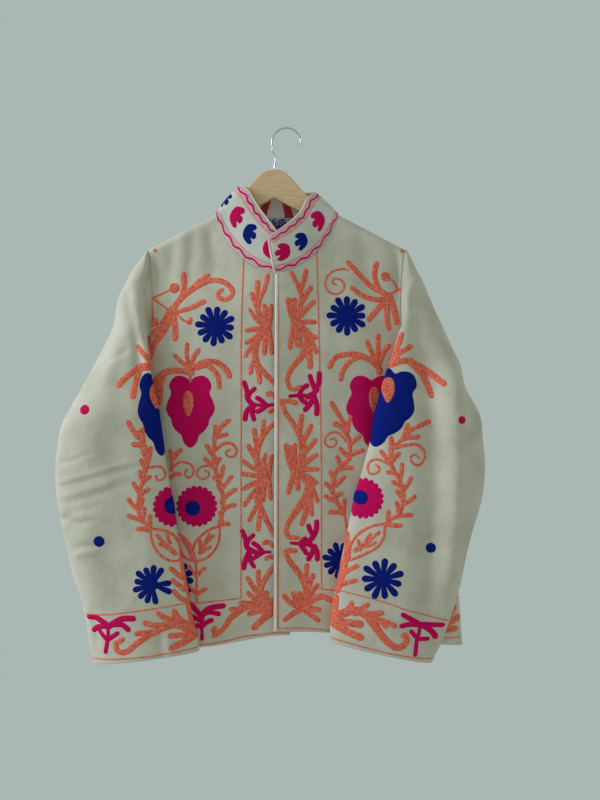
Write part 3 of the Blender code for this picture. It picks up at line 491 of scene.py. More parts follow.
# Thread strokes of each surface and thread: width at the start and the end, then the points as across,
# drop, across, drop, all in millimetres
STROKES = {
    ("front_right", "coral"): (
        (7.5, 9.0, -13, 231, -18, 251, -23, 261, -28, 279, -24, 293, -18, 306),
        (9.0, 9.0, -28, 241, -29, 259, -28, 273), (7.5, 9.0, -37, 259, -33, 271, -28, 279),
        (6.0, 9.0, -39, 284, -33, 293, -24, 302), (7.5, 9.0, -43, 314, -32, 312, -18, 310),
        (7.5, 9.0, -44, 332, -34, 326, -22, 314), (6.8, 9.0, -46, 351, -40, 342, -28, 326),
        (9.0, 10.6, -18, 278, -16, 289, -16, 306), (8.3, 10.6, -8, 279, -9, 293, -12, 308),
        (9.0, 10.6, -18, 347, -17, 334, -16, 316), (7.5, 9.0, -7, 347, -8, 334, -11, 314),
        (21.1, 16.6, -16, 300, -18, 310, -21, 318),
        (12.1, 9.0, -22, 318, -29, 330, -32, 348, -28, 366, -16, 380, -2, 394),
        (7.5, 9.0, -39, 377, -37, 368, -32, 358), (8.3, 9.0, -25, 391, -26, 382, -28, 370),
        (9.0, 6.8, -12, 410, -8, 409, -2, 415), (7.5, 6.8, -9, 436, -5, 433, -2, 433),
        (9.0, 9.0, -2, 453, -14, 464, -23, 479, -28, 495, -30, 509),
        (7.5, 7.5, -19, 451, -20, 463, -22, 475), (8.3, 9.0, -33, 465, -31, 479, -28, 489),
        (7.5, 9.0, -41, 489, -36, 497, -30, 507), (9.0, 12.1, -29, 486, -31, 504, -21, 529),
        (7.5, 9.0, -42, 490, -36, 499, -29, 509), (7.5, 9.0, -48, 512, -37, 520, -22, 526),
        (7.5, 9.0, -50, 530, -37, 532, -21, 533), (7.5, 9.0, -48, 552, -37, 546, -25, 541),
        (7.5, 9.0, -47, 576, -40, 566, -30, 554), (7.5, 9.0, -40, 599, -35, 589, -27, 576),
        (7.5, 9.0, -17, 503, -19, 516, -16, 529), (7.5, 9.0, -7, 505, -9, 516, -11, 531),
        (9.0, 9.0, -20, 569, -19, 554, -16, 539), (8.3, 9.0, -9, 566, -10, 551, -12, 536),
        (18.1, 13.6, -15, 524, -16, 534, -21, 541),
        (12.1, 9.0, -22, 539, -29, 556, -27, 574, -17, 596, -5, 619),
        (8.3, 9.0, -27, 613, -26, 601, -24, 589), (9.0, 7.5, -18, 634, -12, 633, -5, 638),
        (7.5, 7.5, -15, 658, -10, 655, -5, 656), (9.0, 9.0, -5, 671, -15, 686, -22, 701, -21, 721),
        (8.3, 9.0, -27, 678, -27, 689, -24, 701), (8.3, 10.6, -42, 689, -34, 701, -24, 714),
        (8.3, 10.6, -41, 711, -32, 719, -22, 726), (9.0, 10.6, -15, 711, -16, 721, -17, 729),
        (21.1, 18.1, -21, 716, -16, 726, -15, 736), (10.6, 10.6, -7, 721, -9, 731, -10, 741),
        (10.6, 12.1, -32, 761, -22, 751, -7, 739), (9.0, 8.3, -40, 741, -30, 738, -15, 734),
        (9.0, 8.3, -91, 771, -95, 766, -92, 763),
        (8.3, 15.1, -91, 773, -80, 764, -67, 746, -47, 731, -22, 726),
        (7.5, 9.0, -67, 734, -57, 734, -47, 731), (9.0, 9.0, -52, 725, -42, 726, -30, 729),
        (9.0, 16.6, -191, 352, -184, 332, -174, 316, -165, 297),
        (16.6, 10.6, -165, 297, -162, 286, -155, 277), (9.0, 10.6, -193, 322, -180, 311, -167, 295),
        (10.6, 7.5, -155, 277, -144, 263, -123, 247, -100, 237, -79, 240, -66, 254, -73, 266, -85, 265,
         -89, 257, -84, 253), (9.8, 9.0, -142, 228, -141, 247, -145, 263),
        (8.3, 7.5, -105, 229, -120, 240, -137, 256), (9.0, 7.5, -111, 270, -130, 279, -155, 286),
        (3.9, 3.6, -130, 300, -139, 299, -150, 290), (6.8, 6.8, -130, 296, -130, 301, -132, 302),
        (9.8, 10.6, -153, 325, -153, 311, -156, 293), (3.6, 3.3, -160, 250, -176, 257, -192, 264),
        (3.6, 3.3, -188, 295, -189, 279, -191, 264), (3.3, 3.9, -187, 265, -176, 273, -164, 282),
        (7.5, 7.5, -153, 352, -144, 361, -132, 371), (7.5, 7.5, -135, 335, -135, 353, -132, 371),
        (8.3, 7.5, -118, 344, -125, 355, -130, 372),
        (9.0, 9.8, -131, 376, -114, 363, -93, 361, -77, 371, -71, 382),
        (8.3, 8.3, -125, 372, -104, 367, -89, 381, -86, 399),
        (9.8, 13.6, -130, 378, -150, 374, -169, 378, -183, 392, -185, 406),
        (13.6, 12.1, -172, 381, -176, 394, -178, 420), (4.5, 4.5, -130, 390, -130, 376, -131, 369),
        (7.5, 8.3, -72, 450, -83, 459, -91, 471), (7.5, 8.3, -76, 471, -85, 473, -93, 476),
        (6.8, 6.8, -92, 459, -93, 481, -95, 506, -90, 529, -83, 549, -80, 571, -82, 591, -86, 609),
        (7.5, 7.5, -105, 488, -100, 496, -93, 505), (7.5, 7.5, -107, 508, -100, 515, -92, 521),
        (7.5, 7.5, -86, 508, -90, 514, -92, 521),
        (6.0, 3.9, -91, 494, -80, 485, -67, 485, -60, 494, -63, 503, -72, 504, -76, 498, -71, 494),
        (3.9, 3.3, -91, 521, -103, 518, -115, 521, -120, 530, -113, 538, -103, 535, -102, 528, -107, 526),
        (7.5, 7.5, -80, 520, -82, 531, -86, 539), (7.5, 7.5, -93, 536, -88, 541, -84, 548),
        (7.5, 7.5, -68, 535, -75, 544, -81, 551), (7.5, 7.5, -87, 549, -83, 556, -80, 561),
        (7.5, 7.5, -62, 554, -70, 559, -78, 566), (7.5, 7.5, -82, 571, -80, 578, -78, 583),
        (7.5, 7.5, -63, 577, -71, 579, -80, 585), (6.8, 6.8, -85, 589, -83, 596, -82, 604),
        (7.5, 7.5, -72, 606, -78, 605, -85, 608), (7.5, 6.8, -160, 496, -158, 511, -158, 524),
        (8.3, 7.5, -145, 495, -151, 501, -157, 509),
        (4.5, 3.6, -156, 521, -148, 514, -136, 513, -126, 519, -125, 530, -132, 536, -138, 530, -135, 524),
        (7.5, 7.5, -146, 531, -152, 531, -158, 535),
        (4.5, 4.5, -85, 609, -103, 616, -120, 631, -125, 646, -121, 661),
        (4.5, 4.5, -85, 609, -86, 629, -93, 646, -106, 658, -121, 662),
        (5.3, 5.3, -101, 621, -108, 634, -116, 649), (6.0, 6.0, -95, 624, -102, 631, -110, 639),
        (6.0, 6.0, -100, 641, -106, 644, -113, 649), (6.0, 6.0, -115, 631, -115, 639, -113, 646),
        (4.5, 4.5, -146, 621, -136, 629, -128, 639, -123, 654),
        (4.5, 4.5, -147, 639, -140, 654, -128, 661, -121, 663), (6.0, 7.5, -141, 629, -133, 641, -126, 656),
        (4.5, 4.5, -121, 661, -120, 686, -120, 723), (6.8, 6.0, -132, 670, -126, 678, -120, 683),
        (6.8, 6.0, -108, 673, -115, 679, -120, 685), (6.8, 6.0, -131, 701, -126, 706, -120, 711),
        (6.8, 6.0, -106, 704, -113, 708, -120, 713),
    ),
    ("front_right", "magenta"): (
        (6.0, 6.0, -3, 425, -14, 427, -32, 426), (8.3, 7.5, -28, 416, -22, 420, -14, 427),
        (8.3, 7.5, -28, 436, -22, 433, -14, 427), (8.3, 9.0, -48, 393, -44, 406, -43, 417, -34, 427),
        (7.5, 7.5, -33, 402, -40, 409, -43, 418), (9.0, 9.0, -47, 447, -44, 435, -34, 426),
        (8.3, 9.0, -34, 447, -36, 439, -35, 427), (5.3, 6.0, -10, 648, -20, 648, -30, 648),
        (8.3, 7.5, -34, 635, -27, 640, -20, 648), (7.5, 7.5, -35, 658, -29, 654, -21, 649),
        (8.3, 9.0, -51, 617, -46, 629, -44, 641, -32, 648), (7.5, 7.5, -35, 623, -42, 630, -44, 639),
        (9.0, 9.0, -49, 671, -46, 659, -40, 646), (7.5, 9.0, -34, 669, -39, 661, -41, 649),
        (9.0, 9.0, -80, 729, -101, 733, -113, 744), (8.3, 7.5, -87, 741, -101, 739, -112, 744),
        (9.0, 9.0, -128, 728, -121, 736, -112, 746), (8.3, 7.5, -126, 746, -120, 749, -112, 753),
        (6.0, 6.0, -111, 743, -112, 759, -113, 764), (8.3, 7.5, -98, 751, -106, 755, -112, 761),
        (8.3, 7.5, -121, 760, -117, 759, -113, 761), (4.5, 6.8, -112, 763, -112, 771, -112, 779),
    ),
    ("front_left", "coral"): (
        (11, 10, 250, 768, 262, 769, 273, 768), (11, 12, 252, 762, 264, 758, 277, 752),
        (11, 11, 252, 760, 262, 749, 271, 737), (10, 10, 250, 750, 256, 740, 260, 732),
        (7.5, 9.0, 23, 227, 33, 247, 38, 263, 36, 283, 32, 298), (8.3, 9.0, 45, 224, 42, 237, 37, 251),
        (8.3, 9.0, 52, 249, 47, 257, 40, 269), (8.3, 9.0, 56, 271, 48, 279, 38, 291),
        (8.3, 9.0, 57, 301, 47, 301, 34, 303), (9.0, 12.1, 18, 270, 20, 281, 28, 300),
        (9.0, 12.1, 28, 270, 27, 281, 29, 300), (13.6, 15.1, 23, 273, 24, 283, 29, 302),
        (9.0, 10.6, 21, 338, 23, 324, 27, 306), (12.1, 12.1, 34, 335, 33, 322, 31, 306),
        (15.1, 15.1, 30, 300, 38, 312, 51, 324), (9.0, 12.1, 57, 324, 51, 322, 43, 314),
        (9.0, 12.1, 59, 344, 54, 334, 46, 320), (9.8, 12.1, 51, 367, 50, 352, 46, 332),
        (12.1, 6.8, 47, 324, 45, 338, 39, 352, 24, 370, 17, 386, 20, 400, 27, 403, 34, 400),
        (8.3, 7.5, 29, 423, 18, 420, 10, 421),
        (7.5, 10.6, 9, 422, 14, 437, 26, 455, 36, 475, 39, 495, 37, 509),
        (8.3, 9.0, 38, 443, 37, 455, 35, 467), (8.3, 9.0, 52, 459, 47, 469, 41, 481),
        (7.5, 9.0, 57, 481, 51, 489, 42, 497), (9.0, 12.1, 40, 479, 41, 499, 36, 521),
        (8.3, 9.0, 58, 480, 50, 490, 41, 499), (8.3, 9.0, 59, 502, 50, 509, 39, 518),
        (8.3, 9.0, 61, 523, 50, 523, 35, 524), (9.0, 12.1, 15, 489, 18, 504, 25, 521),
        (9.0, 12.1, 28, 489, 27, 504, 28, 521), (12.1, 15.1, 21, 494, 23, 506, 28, 524),
        (9.0, 10.6, 19, 556, 23, 541, 28, 526), (9.0, 10.6, 33, 551, 31, 539, 30, 526),
        (15.1, 13.6, 30, 524, 40, 534, 53, 544), (9.0, 12.1, 58, 542, 53, 539, 45, 535),
        (9.0, 12.1, 61, 569, 55, 556, 48, 541), (9.0, 12.1, 53, 589, 51, 574, 48, 554),
        (9.0, 10.6, 39, 604, 44, 589, 46, 566),
        (13.6, 7.5, 50, 546, 45, 564, 35, 579, 20, 601, 15, 616, 20, 625, 30, 626),
        (8.3, 8.3, 28, 646, 20, 645, 15, 649), (9.0, 12.1, 15, 649, 20, 661, 35, 681, 45, 701, 45, 721),
        (9.0, 9.0, 46, 669, 45, 681, 43, 693), (9.0, 9.0, 55, 684, 51, 694, 46, 706),
        (9.0, 9.0, 61, 699, 55, 706, 48, 716), (9.0, 13.6, 81, 720, 70, 715, 58, 718, 45, 726),
        (9.0, 10.6, 13, 714, 21, 723, 34, 730), (9.0, 10.6, 26, 711, 30, 719, 36, 729),
        (9.0, 9.0, 35, 711, 38, 721, 40, 731), (9.0, 10.6, 14, 748, 24, 741, 38, 733),
        (9.0, 10.6, 62, 750, 53, 743, 41, 733), (9.0, 10.6, 63, 735, 53, 733, 41, 730),
        (3.6, 3.3, 109, 220, 99, 219, 87, 222, 77, 231, 74, 243, 79, 254, 91, 258, 101, 252, 103, 242, 97,
         235, 88, 234, 85, 240, 90, 243), (9.0, 9.0, 81, 368, 89, 355, 105, 350, 123, 350, 137, 357),
        (8.3, 8.3, 97, 387, 102, 372, 113, 359, 127, 354), (8.3, 7.5, 84, 424, 93, 439, 103, 455),
        (7.5, 7.5, 88, 455, 97, 459, 107, 465), (7.5, 7.5, 112, 444, 109, 455, 108, 465),
        (3.6, 3.3, 105, 481, 95, 469, 83, 468, 74, 475, 74, 485, 82, 490, 90, 485, 88, 477, 82, 478),
        (9.0, 9.0, 110, 209, 126, 227, 147, 247, 170, 260),
        (9.0, 9.0, 153, 210, 150, 228, 156, 249, 170, 259),
        (8.3, 9.0, 116, 249, 131, 260, 152, 266, 170, 263), (9.8, 10.6, 141, 296, 154, 281, 169, 265),
        (9.8, 10.6, 170, 309, 168, 288, 170, 267), (10.6, 10.6, 183, 300, 179, 279, 173, 260),
        (4.5, 4.5, 171, 258, 182, 252, 189, 249), (3.6, 3.6, 171, 233, 179, 237, 187, 251),
        (8.3, 8.3, 137, 331, 143, 344, 152, 362), (8.3, 8.3, 154, 322, 154, 341, 154, 362),
        (8.3, 8.3, 170, 337, 163, 346, 156, 363), (10.6, 10.6, 122, 351, 138, 356, 154, 369, 156, 376),
        (7.5, 6.8, 101, 464, 109, 476, 111, 494, 109, 509, 96, 519, 87, 536, 85, 556, 92, 574, 101, 589),
        (7.5, 7.5, 90, 454, 99, 460, 106, 468), (7.5, 7.5, 125, 474, 119, 479, 112, 486),
        (7.5, 7.5, 97, 493, 104, 500, 110, 505), (7.5, 7.5, 130, 495, 121, 498, 111, 503),
        (7.5, 7.5, 92, 505, 95, 513, 97, 520), (7.5, 7.5, 114, 521, 105, 521, 96, 523),
        (7.5, 7.5, 82, 528, 86, 536, 89, 544), (7.5, 7.5, 101, 536, 95, 543, 89, 548),
        (7.5, 7.5, 75, 545, 81, 551, 85, 559), (7.5, 7.5, 97, 560, 91, 563, 86, 565),
        (7.5, 7.5, 75, 564, 82, 569, 89, 571), (7.5, 7.5, 81, 588, 91, 588, 101, 590),
        (7.5, 7.5, 103, 570, 102, 579, 102, 589), (4.5, 4.5, 102, 589, 106, 609, 110, 629),
    ),
    ("front_left", "magenta"): (
        (6.0, 6.0, 21, 413, 30, 412, 45, 412), (8.3, 8.3, 46, 397, 39, 402, 35, 411),
        (8.3, 8.3, 45, 423, 39, 419, 35, 412), (9.0, 9.0, 65, 379, 64, 394, 59, 406, 47, 414),
        (8.3, 8.3, 51, 383, 54, 392, 59, 404), (9.0, 9.0, 44, 433, 51, 425, 57, 413),
        (9.0, 9.0, 61, 439, 61, 427, 57, 413), (5.3, 6.0, 23, 634, 33, 635, 45, 636),
        (8.3, 8.3, 43, 628, 40, 631, 36, 635), (8.3, 8.3, 45, 649, 41, 643, 36, 635),
        (9.0, 9.0, 61, 603, 60, 616, 53, 628, 43, 636), (8.3, 8.3, 49, 609, 51, 615, 56, 623),
        (9.0, 9.0, 62, 658, 61, 646, 53, 638, 45, 635), (9.0, 9.0, 49, 658, 54, 649, 58, 640),
    ),
    ("sleeve_left", "coral"): (
        (8.8, 8.8, 188, 321, 183, 336, 174, 352), (8.8, 8.8, 201, 339, 190, 345, 176, 354),
        (8.8, 10.3, 168, 341, 170, 352, 173, 361), (13.3, 13.3, 162, 370, 170, 363, 178, 358),
        (10.3, 10.3, 172, 366, 192, 360, 210, 366, 230, 379, 248, 394),
        (13.3, 9.6, 201, 362, 214, 375, 223, 390, 230, 410), (8.1, 7.4, 226, 451, 212, 457, 199, 463),
        (8.1, 7.4, 194, 456, 191, 466, 187, 475), (8.1, 7.4, 209, 473, 197, 474, 186, 476),
        (5.9, 5.9, 201, 461, 190, 474, 178, 483, 169, 492), (8.1, 7.4, 170, 476, 171, 487, 170, 499),
        (7.4, 7.4, 170, 475, 170, 487, 169, 502),
        (5.9, 3.8, 170, 491, 188, 486, 205, 484, 217, 491, 220, 503, 213, 514, 202, 512, 198, 503, 205,
         499, 210, 503), (7.4, 7.4, 156, 495, 162, 503, 168, 510), (7.4, 7.4, 181, 498, 175, 504, 169, 512),
        (4.4, 3.5, 166, 513, 153, 507, 141, 509, 136, 519, 140, 528, 150, 526, 153, 519, 148, 515),
        (7.4, 7.4, 186, 514, 185, 524, 183, 534), (7.4, 7.4, 166, 525, 174, 526, 181, 531),
        (7.4, 7.4, 173, 540, 178, 542, 184, 546), (7.4, 7.4, 199, 534, 194, 543, 186, 553),
        (6.6, 6.6, 169, 512, 175, 524, 184, 541, 188, 561, 185, 578, 178, 589, 166, 595),
        (7.4, 7.4, 179, 553, 183, 559, 187, 565), (7.4, 7.4, 204, 561, 197, 567, 188, 572),
        (7.4, 7.4, 178, 570, 180, 578, 180, 586), (7.4, 7.4, 199, 588, 190, 588, 178, 590),
        (7.4, 7.4, 166, 584, 165, 592, 166, 600), (7.4, 7.4, 183, 603, 173, 603, 162, 601),
        (4.4, 4.4, 162, 600, 141, 605, 122, 617, 111, 634, 109, 653),
        (4.4, 4.4, 161, 602, 158, 622, 148, 636, 129, 647, 109, 656),
        (5.9, 7.4, 151, 614, 136, 627, 117, 641), (5.9, 5.9, 139, 617, 135, 624, 131, 630),
        (5.9, 5.9, 146, 629, 137, 633, 128, 635), (5.9, 5.9, 122, 627, 123, 633, 124, 639),
        (8.8, 11.8, 106, 619, 106, 639, 103, 658, 97, 683, 91, 700),
        (7.4, 7.4, 120, 664, 112, 668, 103, 674), (7.4, 7.4, 118, 685, 108, 688, 98, 692),
        (7.4, 7.4, 95, 656, 98, 666, 101, 675), (7.4, 7.4, 91, 678, 93, 684, 96, 690),
        (10.3, 13.3, 89, 713, 87, 729, 84, 744), (13.3, 13.3, 80, 744, 95, 736, 117, 729, 136, 736),
        (13.3, 10.3, 133, 734, 146, 751, 161, 771, 178, 783, 190, 778, 193, 768, 190, 766),
        (8.8, 10.3, 112, 719, 108, 727, 102, 735), (8.8, 10.3, 134, 721, 126, 727, 117, 733),
        (8.8, 10.3, 155, 732, 144, 733, 129, 734), (8.8, 10.3, 174, 750, 161, 745, 146, 741),
        (11.8, 11.8, 80, 746, 102, 747, 124, 749), (11.8, 13.3, 124, 768, 107, 761, 85, 750),
        (7.4, 7.4, 162, 752, 156, 747, 147, 743),
    ),
    ("sleeve_left", "magenta"): (
        (8.1, 8.8, 188, 735, 202, 743, 213, 750), (8.1, 8.8, 186, 751, 197, 749, 213, 750),
        (8.1, 8.8, 247, 752, 232, 751, 214, 750), (10.3, 8.8, 236, 768, 230, 760, 216, 751),
        (7.4, 7.4, 224, 771, 212, 771, 207, 768, 200, 760),
        (5.9, 7.4, 213, 751, 211, 763, 208, 773, 206, 794),
    ),
    ("sleeve_right", "coral"): (
        (8.1, 8.1, -207, 339, -198, 350, -188, 361), (7.4, 8.8, -191, 325, -188, 343, -186, 361),
        (13.3, 13.3, -204, 371, -194, 369, -182, 368),
        (10.3, 10.3, -232, 396, -221, 384, -203, 370, -189, 370),
        (10.3, 9.6, -211, 413, -209, 397, -204, 377), (8.1, 7.4, -217, 452, -211, 463, -203, 474),
        (8.1, 7.4, -197, 463, -198, 476, -199, 487), (8.1, 7.4, -209, 484, -203, 485, -196, 486),
        (6.6, 6.6, -200, 465, -194, 485, -188, 504, -191, 519, -197, 539, -200, 556, -203, 575, -198, 592,
         -185, 609), (7.4, 7.4, -216, 453, -210, 463, -202, 471),
        (7.4, 7.4, -209, 485, -202, 485, -194, 486), (7.4, 7.4, -197, 463, -196, 473, -195, 482),
        (7.4, 7.4, -196, 495, -192, 502, -189, 509), (7.4, 7.4, -185, 490, -186, 499, -188, 509),
        (7.4, 7.4, -198, 508, -194, 517, -192, 524),
        (4.4, 3.5, -188, 519, -178, 517, -169, 519, -164, 528, -167, 536, -175, 537, -177, 531),
        (7.4, 7.4, -200, 525, -198, 532, -196, 539), (7.4, 7.4, -186, 532, -192, 536, -197, 542),
        (7.4, 7.4, -209, 542, -204, 550, -200, 557), (7.4, 7.4, -188, 551, -194, 554, -200, 559),
        (7.4, 7.4, -216, 565, -210, 573, -203, 579), (7.4, 7.4, -196, 565, -198, 573, -202, 581),
        (7.4, 7.4, -216, 589, -208, 592, -198, 595), (7.4, 7.4, -193, 579, -194, 587, -197, 596),
        (7.4, 7.4, -202, 608, -193, 609, -185, 611), (7.4, 7.4, -185, 590, -185, 600, -185, 609),
        (4.4, 4.4, -185, 609, -181, 629, -171, 646, -156, 656, -142, 657),
        (4.4, 4.4, -183, 608, -166, 611, -152, 619, -143, 636, -142, 656),
        (5.9, 7.4, -174, 619, -164, 631, -149, 646), (5.9, 5.9, -161, 617, -159, 624, -156, 630),
        (5.9, 5.9, -171, 631, -163, 635, -154, 639), (4.4, 5.9, -142, 657, -137, 680, -131, 705, -128, 719),
        (7.4, 7.4, -154, 668, -147, 675, -138, 683), (7.4, 7.4, -152, 685, -144, 692, -136, 700),
        (7.4, 7.4, -150, 701, -143, 710, -133, 717), (7.4, 7.4, -137, 663, -136, 671, -136, 678),
        (8.8, 11.8, -227, 772, -235, 778, -232, 788, -220, 789, -203, 776, -181, 761, -156, 751, -137, 749),
        (8.8, 10.3, -191, 747, -178, 750, -164, 751), (8.8, 10.3, -203, 762, -191, 761, -176, 760),
        (8.8, 11.8, -171, 734, -161, 741, -149, 746), (10.3, 13.3, -149, 733, -147, 739, -142, 746),
        (20.6, 14.7, -147, 745, -137, 751, -127, 756), (8.8, 10.3, -154, 766, -139, 766, -122, 768),
        (10.3, 11.8, -152, 783, -137, 777, -120, 768), (8.8, 11.8, -130, 722, -126, 739, -122, 754),
        (13.3, 13.3, -139, 751, -128, 761, -117, 766),
    ),
    ("sleeve_right", "magenta"): (
        (9.6, 10.3, -276, 740, -264, 741, -247, 752), (9.6, 10.3, -210, 740, -227, 741, -246, 752),
        (8.8, 8.8, -269, 759, -262, 754, -248, 752), (8.8, 8.8, -217, 756, -227, 749, -243, 750),
        (5.9, 7.4, -247, 751, -247, 763, -248, 773, -251, 790), (7.4, 7.4, -260, 760, -255, 766, -249, 772),
        (7.4, 7.4, -233, 762, -240, 767, -247, 772),
    ),
}


def smooth(t):
    """Eases t from 0 to 1 with level ends."""
    t = min(1.0, max(0.0, t))
    return t * t * (3 - 2 * t)


def curve_through(rows, x):
    """Reads a smooth curve through rows of (x, value, value, ...) and returns the values at x."""
    if rows[0][0] > rows[-1][0]:
        rows = rows[::-1]
    xs = [row[0] for row in rows]
    x = min(xs[-1], max(xs[0], x))
    i = max(0, min(len(xs) - 2, sum(1 for value in xs if value <= x) - 1))
    span = xs[i + 1] - xs[i]
    t = (x - xs[i]) / span
    values = []
    for k in range(1, len(rows[0])):
        slopes = []
        for j in (i, i + 1):
            low = max(0, j - 1)
            high = min(len(rows) - 1, j + 1)
            slopes.append((rows[high][k] - rows[low][k]) / (xs[high] - xs[low]) * span)
        p, q = rows[i][k], rows[i + 1][k]
        bend = (2 * t**3 - 3 * t**2 + 1) * p + (3 * t**2 - 2 * t**3) * q
        values.append(bend + (t**3 - 2 * t**2 + t) * slopes[0] + (t**3 - t**2) * slopes[1])
    return values


def spline(points, t, closed=False):
    """Catmull-Rom spline through points, t from 0 to 1 over the whole run or loop."""
    count = len(points)
    spans = count if closed else count - 1
    s = min(max(t, 0.0), 1.0) * spans
    i = min(int(s), spans - 1)
    f = s - i

    def at(j):
        if closed:
            return Vector(points[j % count])
        return Vector(points[min(max(j, 0), count - 1)])

    a, b, c, d = at(i - 1), at(i), at(i + 1), at(i + 2)
    return 0.5 * (2 * b + (c - a) * f + (2 * a - 5 * b + 4 * c - d) * f * f + (3 * b - a - 3 * c + d) * f**3)


def outer_edge(z):
    """How far across the panels' outer edge lies at height z."""
    return curve_through(OUTER_EDGE, z)[0]


def shoulder_z(a):
    """Height of the shoulder line at a, carried on past the neck."""
    return NECK_Z - (a - NECK_HALF) * SHOULDER_SLOPE


def neck_z(a, drop):
    """Height of a neckline that dips by drop at the centre."""
    share = min(1.0, abs(a) / NECK_HALF)
    bow = (1 - (NECK_EASE * share) ** NECK_ROUNDNESS) ** (1 / NECK_ROUNDNESS)
    rest = (1 - NECK_EASE**NECK_ROUNDNESS) ** (1 / NECK_ROUNDNESS)
    return NECK_Z - drop * (bow - rest * share**4)


def top_z(panel, a):
    """Height of a panel's upper edge at a."""
    if abs(a) < NECK_HALF:
        return neck_z(a, BACK_NECK_DROP if panel == "back" else FRONT_NECK_DROP)
    return shoulder_z(abs(a))


def side_half(z):
    """Half width at which front and back would meet at height z."""
    if z <= ARMPIT_Z:
        return outer_edge(z)
    rise = (z - ARMPIT_Z) / (SHOULDER_Z - ARMPIT_Z)
    return ARMPIT_HALF + (VIRTUAL_SHOULDER_HALF - ARMPIT_HALF) * rise


def panel_y(panel, a, z):
    """Depth of a panel's smooth form, before its folds."""
    drop = max(0.0, shoulder_z(abs(a)) - z)
    roll = ROLL * sqrt(1 - (1 - min(1.0, drop / ROLL)) ** 2)
    swell = (BACK_SWELL if panel == "back" else FRONT_SWELL) * smooth(drop / SWELL_DROP)
    share = min(1.0, abs(a) / side_half(z))
    depth = (roll + swell) * (1 - share**SIDE_ROUNDNESS) ** (1 / SIDE_ROUNDNESS)
    if panel == "back":
        return SEAM_GAP / 2 + depth
    rise = LAP_RISE * smooth(1 - a / LAP_WIDTH) if panel == "front_left" else 0.0
    return -SEAM_GAP / 2 - depth - rise


def centre_edge(panel, v):
    """How far across a front's centre edge lies, v from 0 at the neck to 1 at the hem."""
    if panel == "front_right":
        return -UNDER_LAP
    return -OVER_LAP_AT_NECK - (OVER_LAP_AT_HEM - OVER_LAP_AT_NECK) * v


def neck_place(share):
    """How far across the neckline lies for a share of the way from the centre to the shoulder seam."""
    return NECK_HALF * sin(pi / 2 * share**NECK_CROWDING)


def panel_point(panel, top_a, v):
    """Point of a panel's smooth form: top_a picks the column, v the share of the way to the hem."""
    edge_z = SHOULDER_Z + (SIDE_HEM_Z - SHOULDER_Z) * v
    first, start, last = [0.0 if panel == "back" else centre_edge(panel, at) for at in (0.0, v, 1.0)]
    u = (top_a - first) / (SHOULDER_HALF - first)
    a = start + (outer_edge(edge_z) - start) * u
    hem_a = last + (outer_edge(SIDE_HEM_Z) - last) * u
    high = top_z(panel, top_a)
    low = curve_through(HEMS[panel], abs(hem_a) if panel == "back" else hem_a)[0]
    z = high + (low - high) * v
    return Vector((a, panel_y(panel, a, z), z))


def armhole_ring(reach):
    """Loop just outside the armhole, from the shoulder down the front and up the back."""
    drops = (0.0,) + ARMHOLE_ROWS
    last = len(drops) - 1
    ring = []
    for i in range(2 * last):
        j = i if i <= last else 2 * last - i
        panel = "front_right" if i <= last else "back"
        seat = panel_point(panel, SHOULDER_HALF, drops[j] / (SHOULDER_Z - SIDE_HEM_Z))
        if j in (0, last):
            seat.y = 0.0
        down = smooth(j / last)
        forward = (-SLEEVE_HEAD_FORWARD if panel == "front_right" else SLEEVE_HEAD_BACK) * sin(pi * j / last)
        way = Vector((1.0, forward, -SLEEVE_HEAD_DROP * (1 - down) + SLEEVE_ARMPIT_LIFT * down)).normalized()
        ring.append(seat + way * reach)
    return ring


def oval_angle(t):
    """Angle round a sleeve's oval for the share t of its loop; the inner fold is at t = FOLD_SHARE."""
    if t < FOLD_SHARE:
        return pi * t / FOLD_SHARE
    return pi + pi * (t - FOLD_SHARE) / (1 - FOLD_SHARE)


def oval_point(row, t):
    """Point of a flat oval between a row's outer end and its inner fold."""
    outer_a, outer_z, fold_a, fold_z = row
    angle = oval_angle(t)
    along = (1 + cos(angle)) / 2
    bulge = (abs(sin(angle)) ** SLEEVE_FLATNESS) * (1 if sin(angle) > 0 else -1)
    middle_y = SLEEVE_FOLD_Y + (SLEEVE_OUTER_Y - SLEEVE_FOLD_Y) * along
    face_y = SLEEVE_FRONT_Y if bulge > 0 else SLEEVE_BACK_Y
    y = middle_y + (face_y - middle_y) * abs(bulge)
    return Vector((fold_a + (outer_a - fold_a) * along, y, fold_z + (outer_z - fold_z) * along))


def clear_of_body(point):
    """Moves a sleeve point forward until it clears the front panel that it hangs before."""
    z = max(point.z, SIDE_HEM_Z)
    side = outer_edge(z)
    limit = panel_y("front_right", min(point.x, side), z) - BODY_CLEARANCE
    if point.y > limit:
        point.y += (limit - point.y) * smooth((side + SIDE_FADE - point.x) / SIDE_FADE)
    return point


def sleeve_rings(name):
    """The coarse rings of a sleeve's smooth form, from the armhole to the cuff."""
    count = 2 * len(ARMHOLE_ROWS)
    shares = [i / count for i in range(count)]
    first = armhole_ring(SEAM_GAP)
    second = armhole_ring(SLEEVE_START)
    heads = [[spline(ring, t, closed=True) for t in shares] for ring in SLEEVE_HEADS[name]]
    ovals = [[oval_point(row, t) for t in shares] for row in SLEEVE_OVALS[name]]
    keys = [second] + heads + [ovals[0]]
    between = []
    for k in range(len(keys) - 1):
        for step in (0.0, 0.5):
            at = (k + step) / (len(keys) - 1)
            between.append([spline([ring[i] for ring in keys], at) for i in range(count)])
    rings = [first] + between + ovals
    return rings[:2] + [[clear_of_body(point.copy()) for point in ring] for ring in rings[2:]]


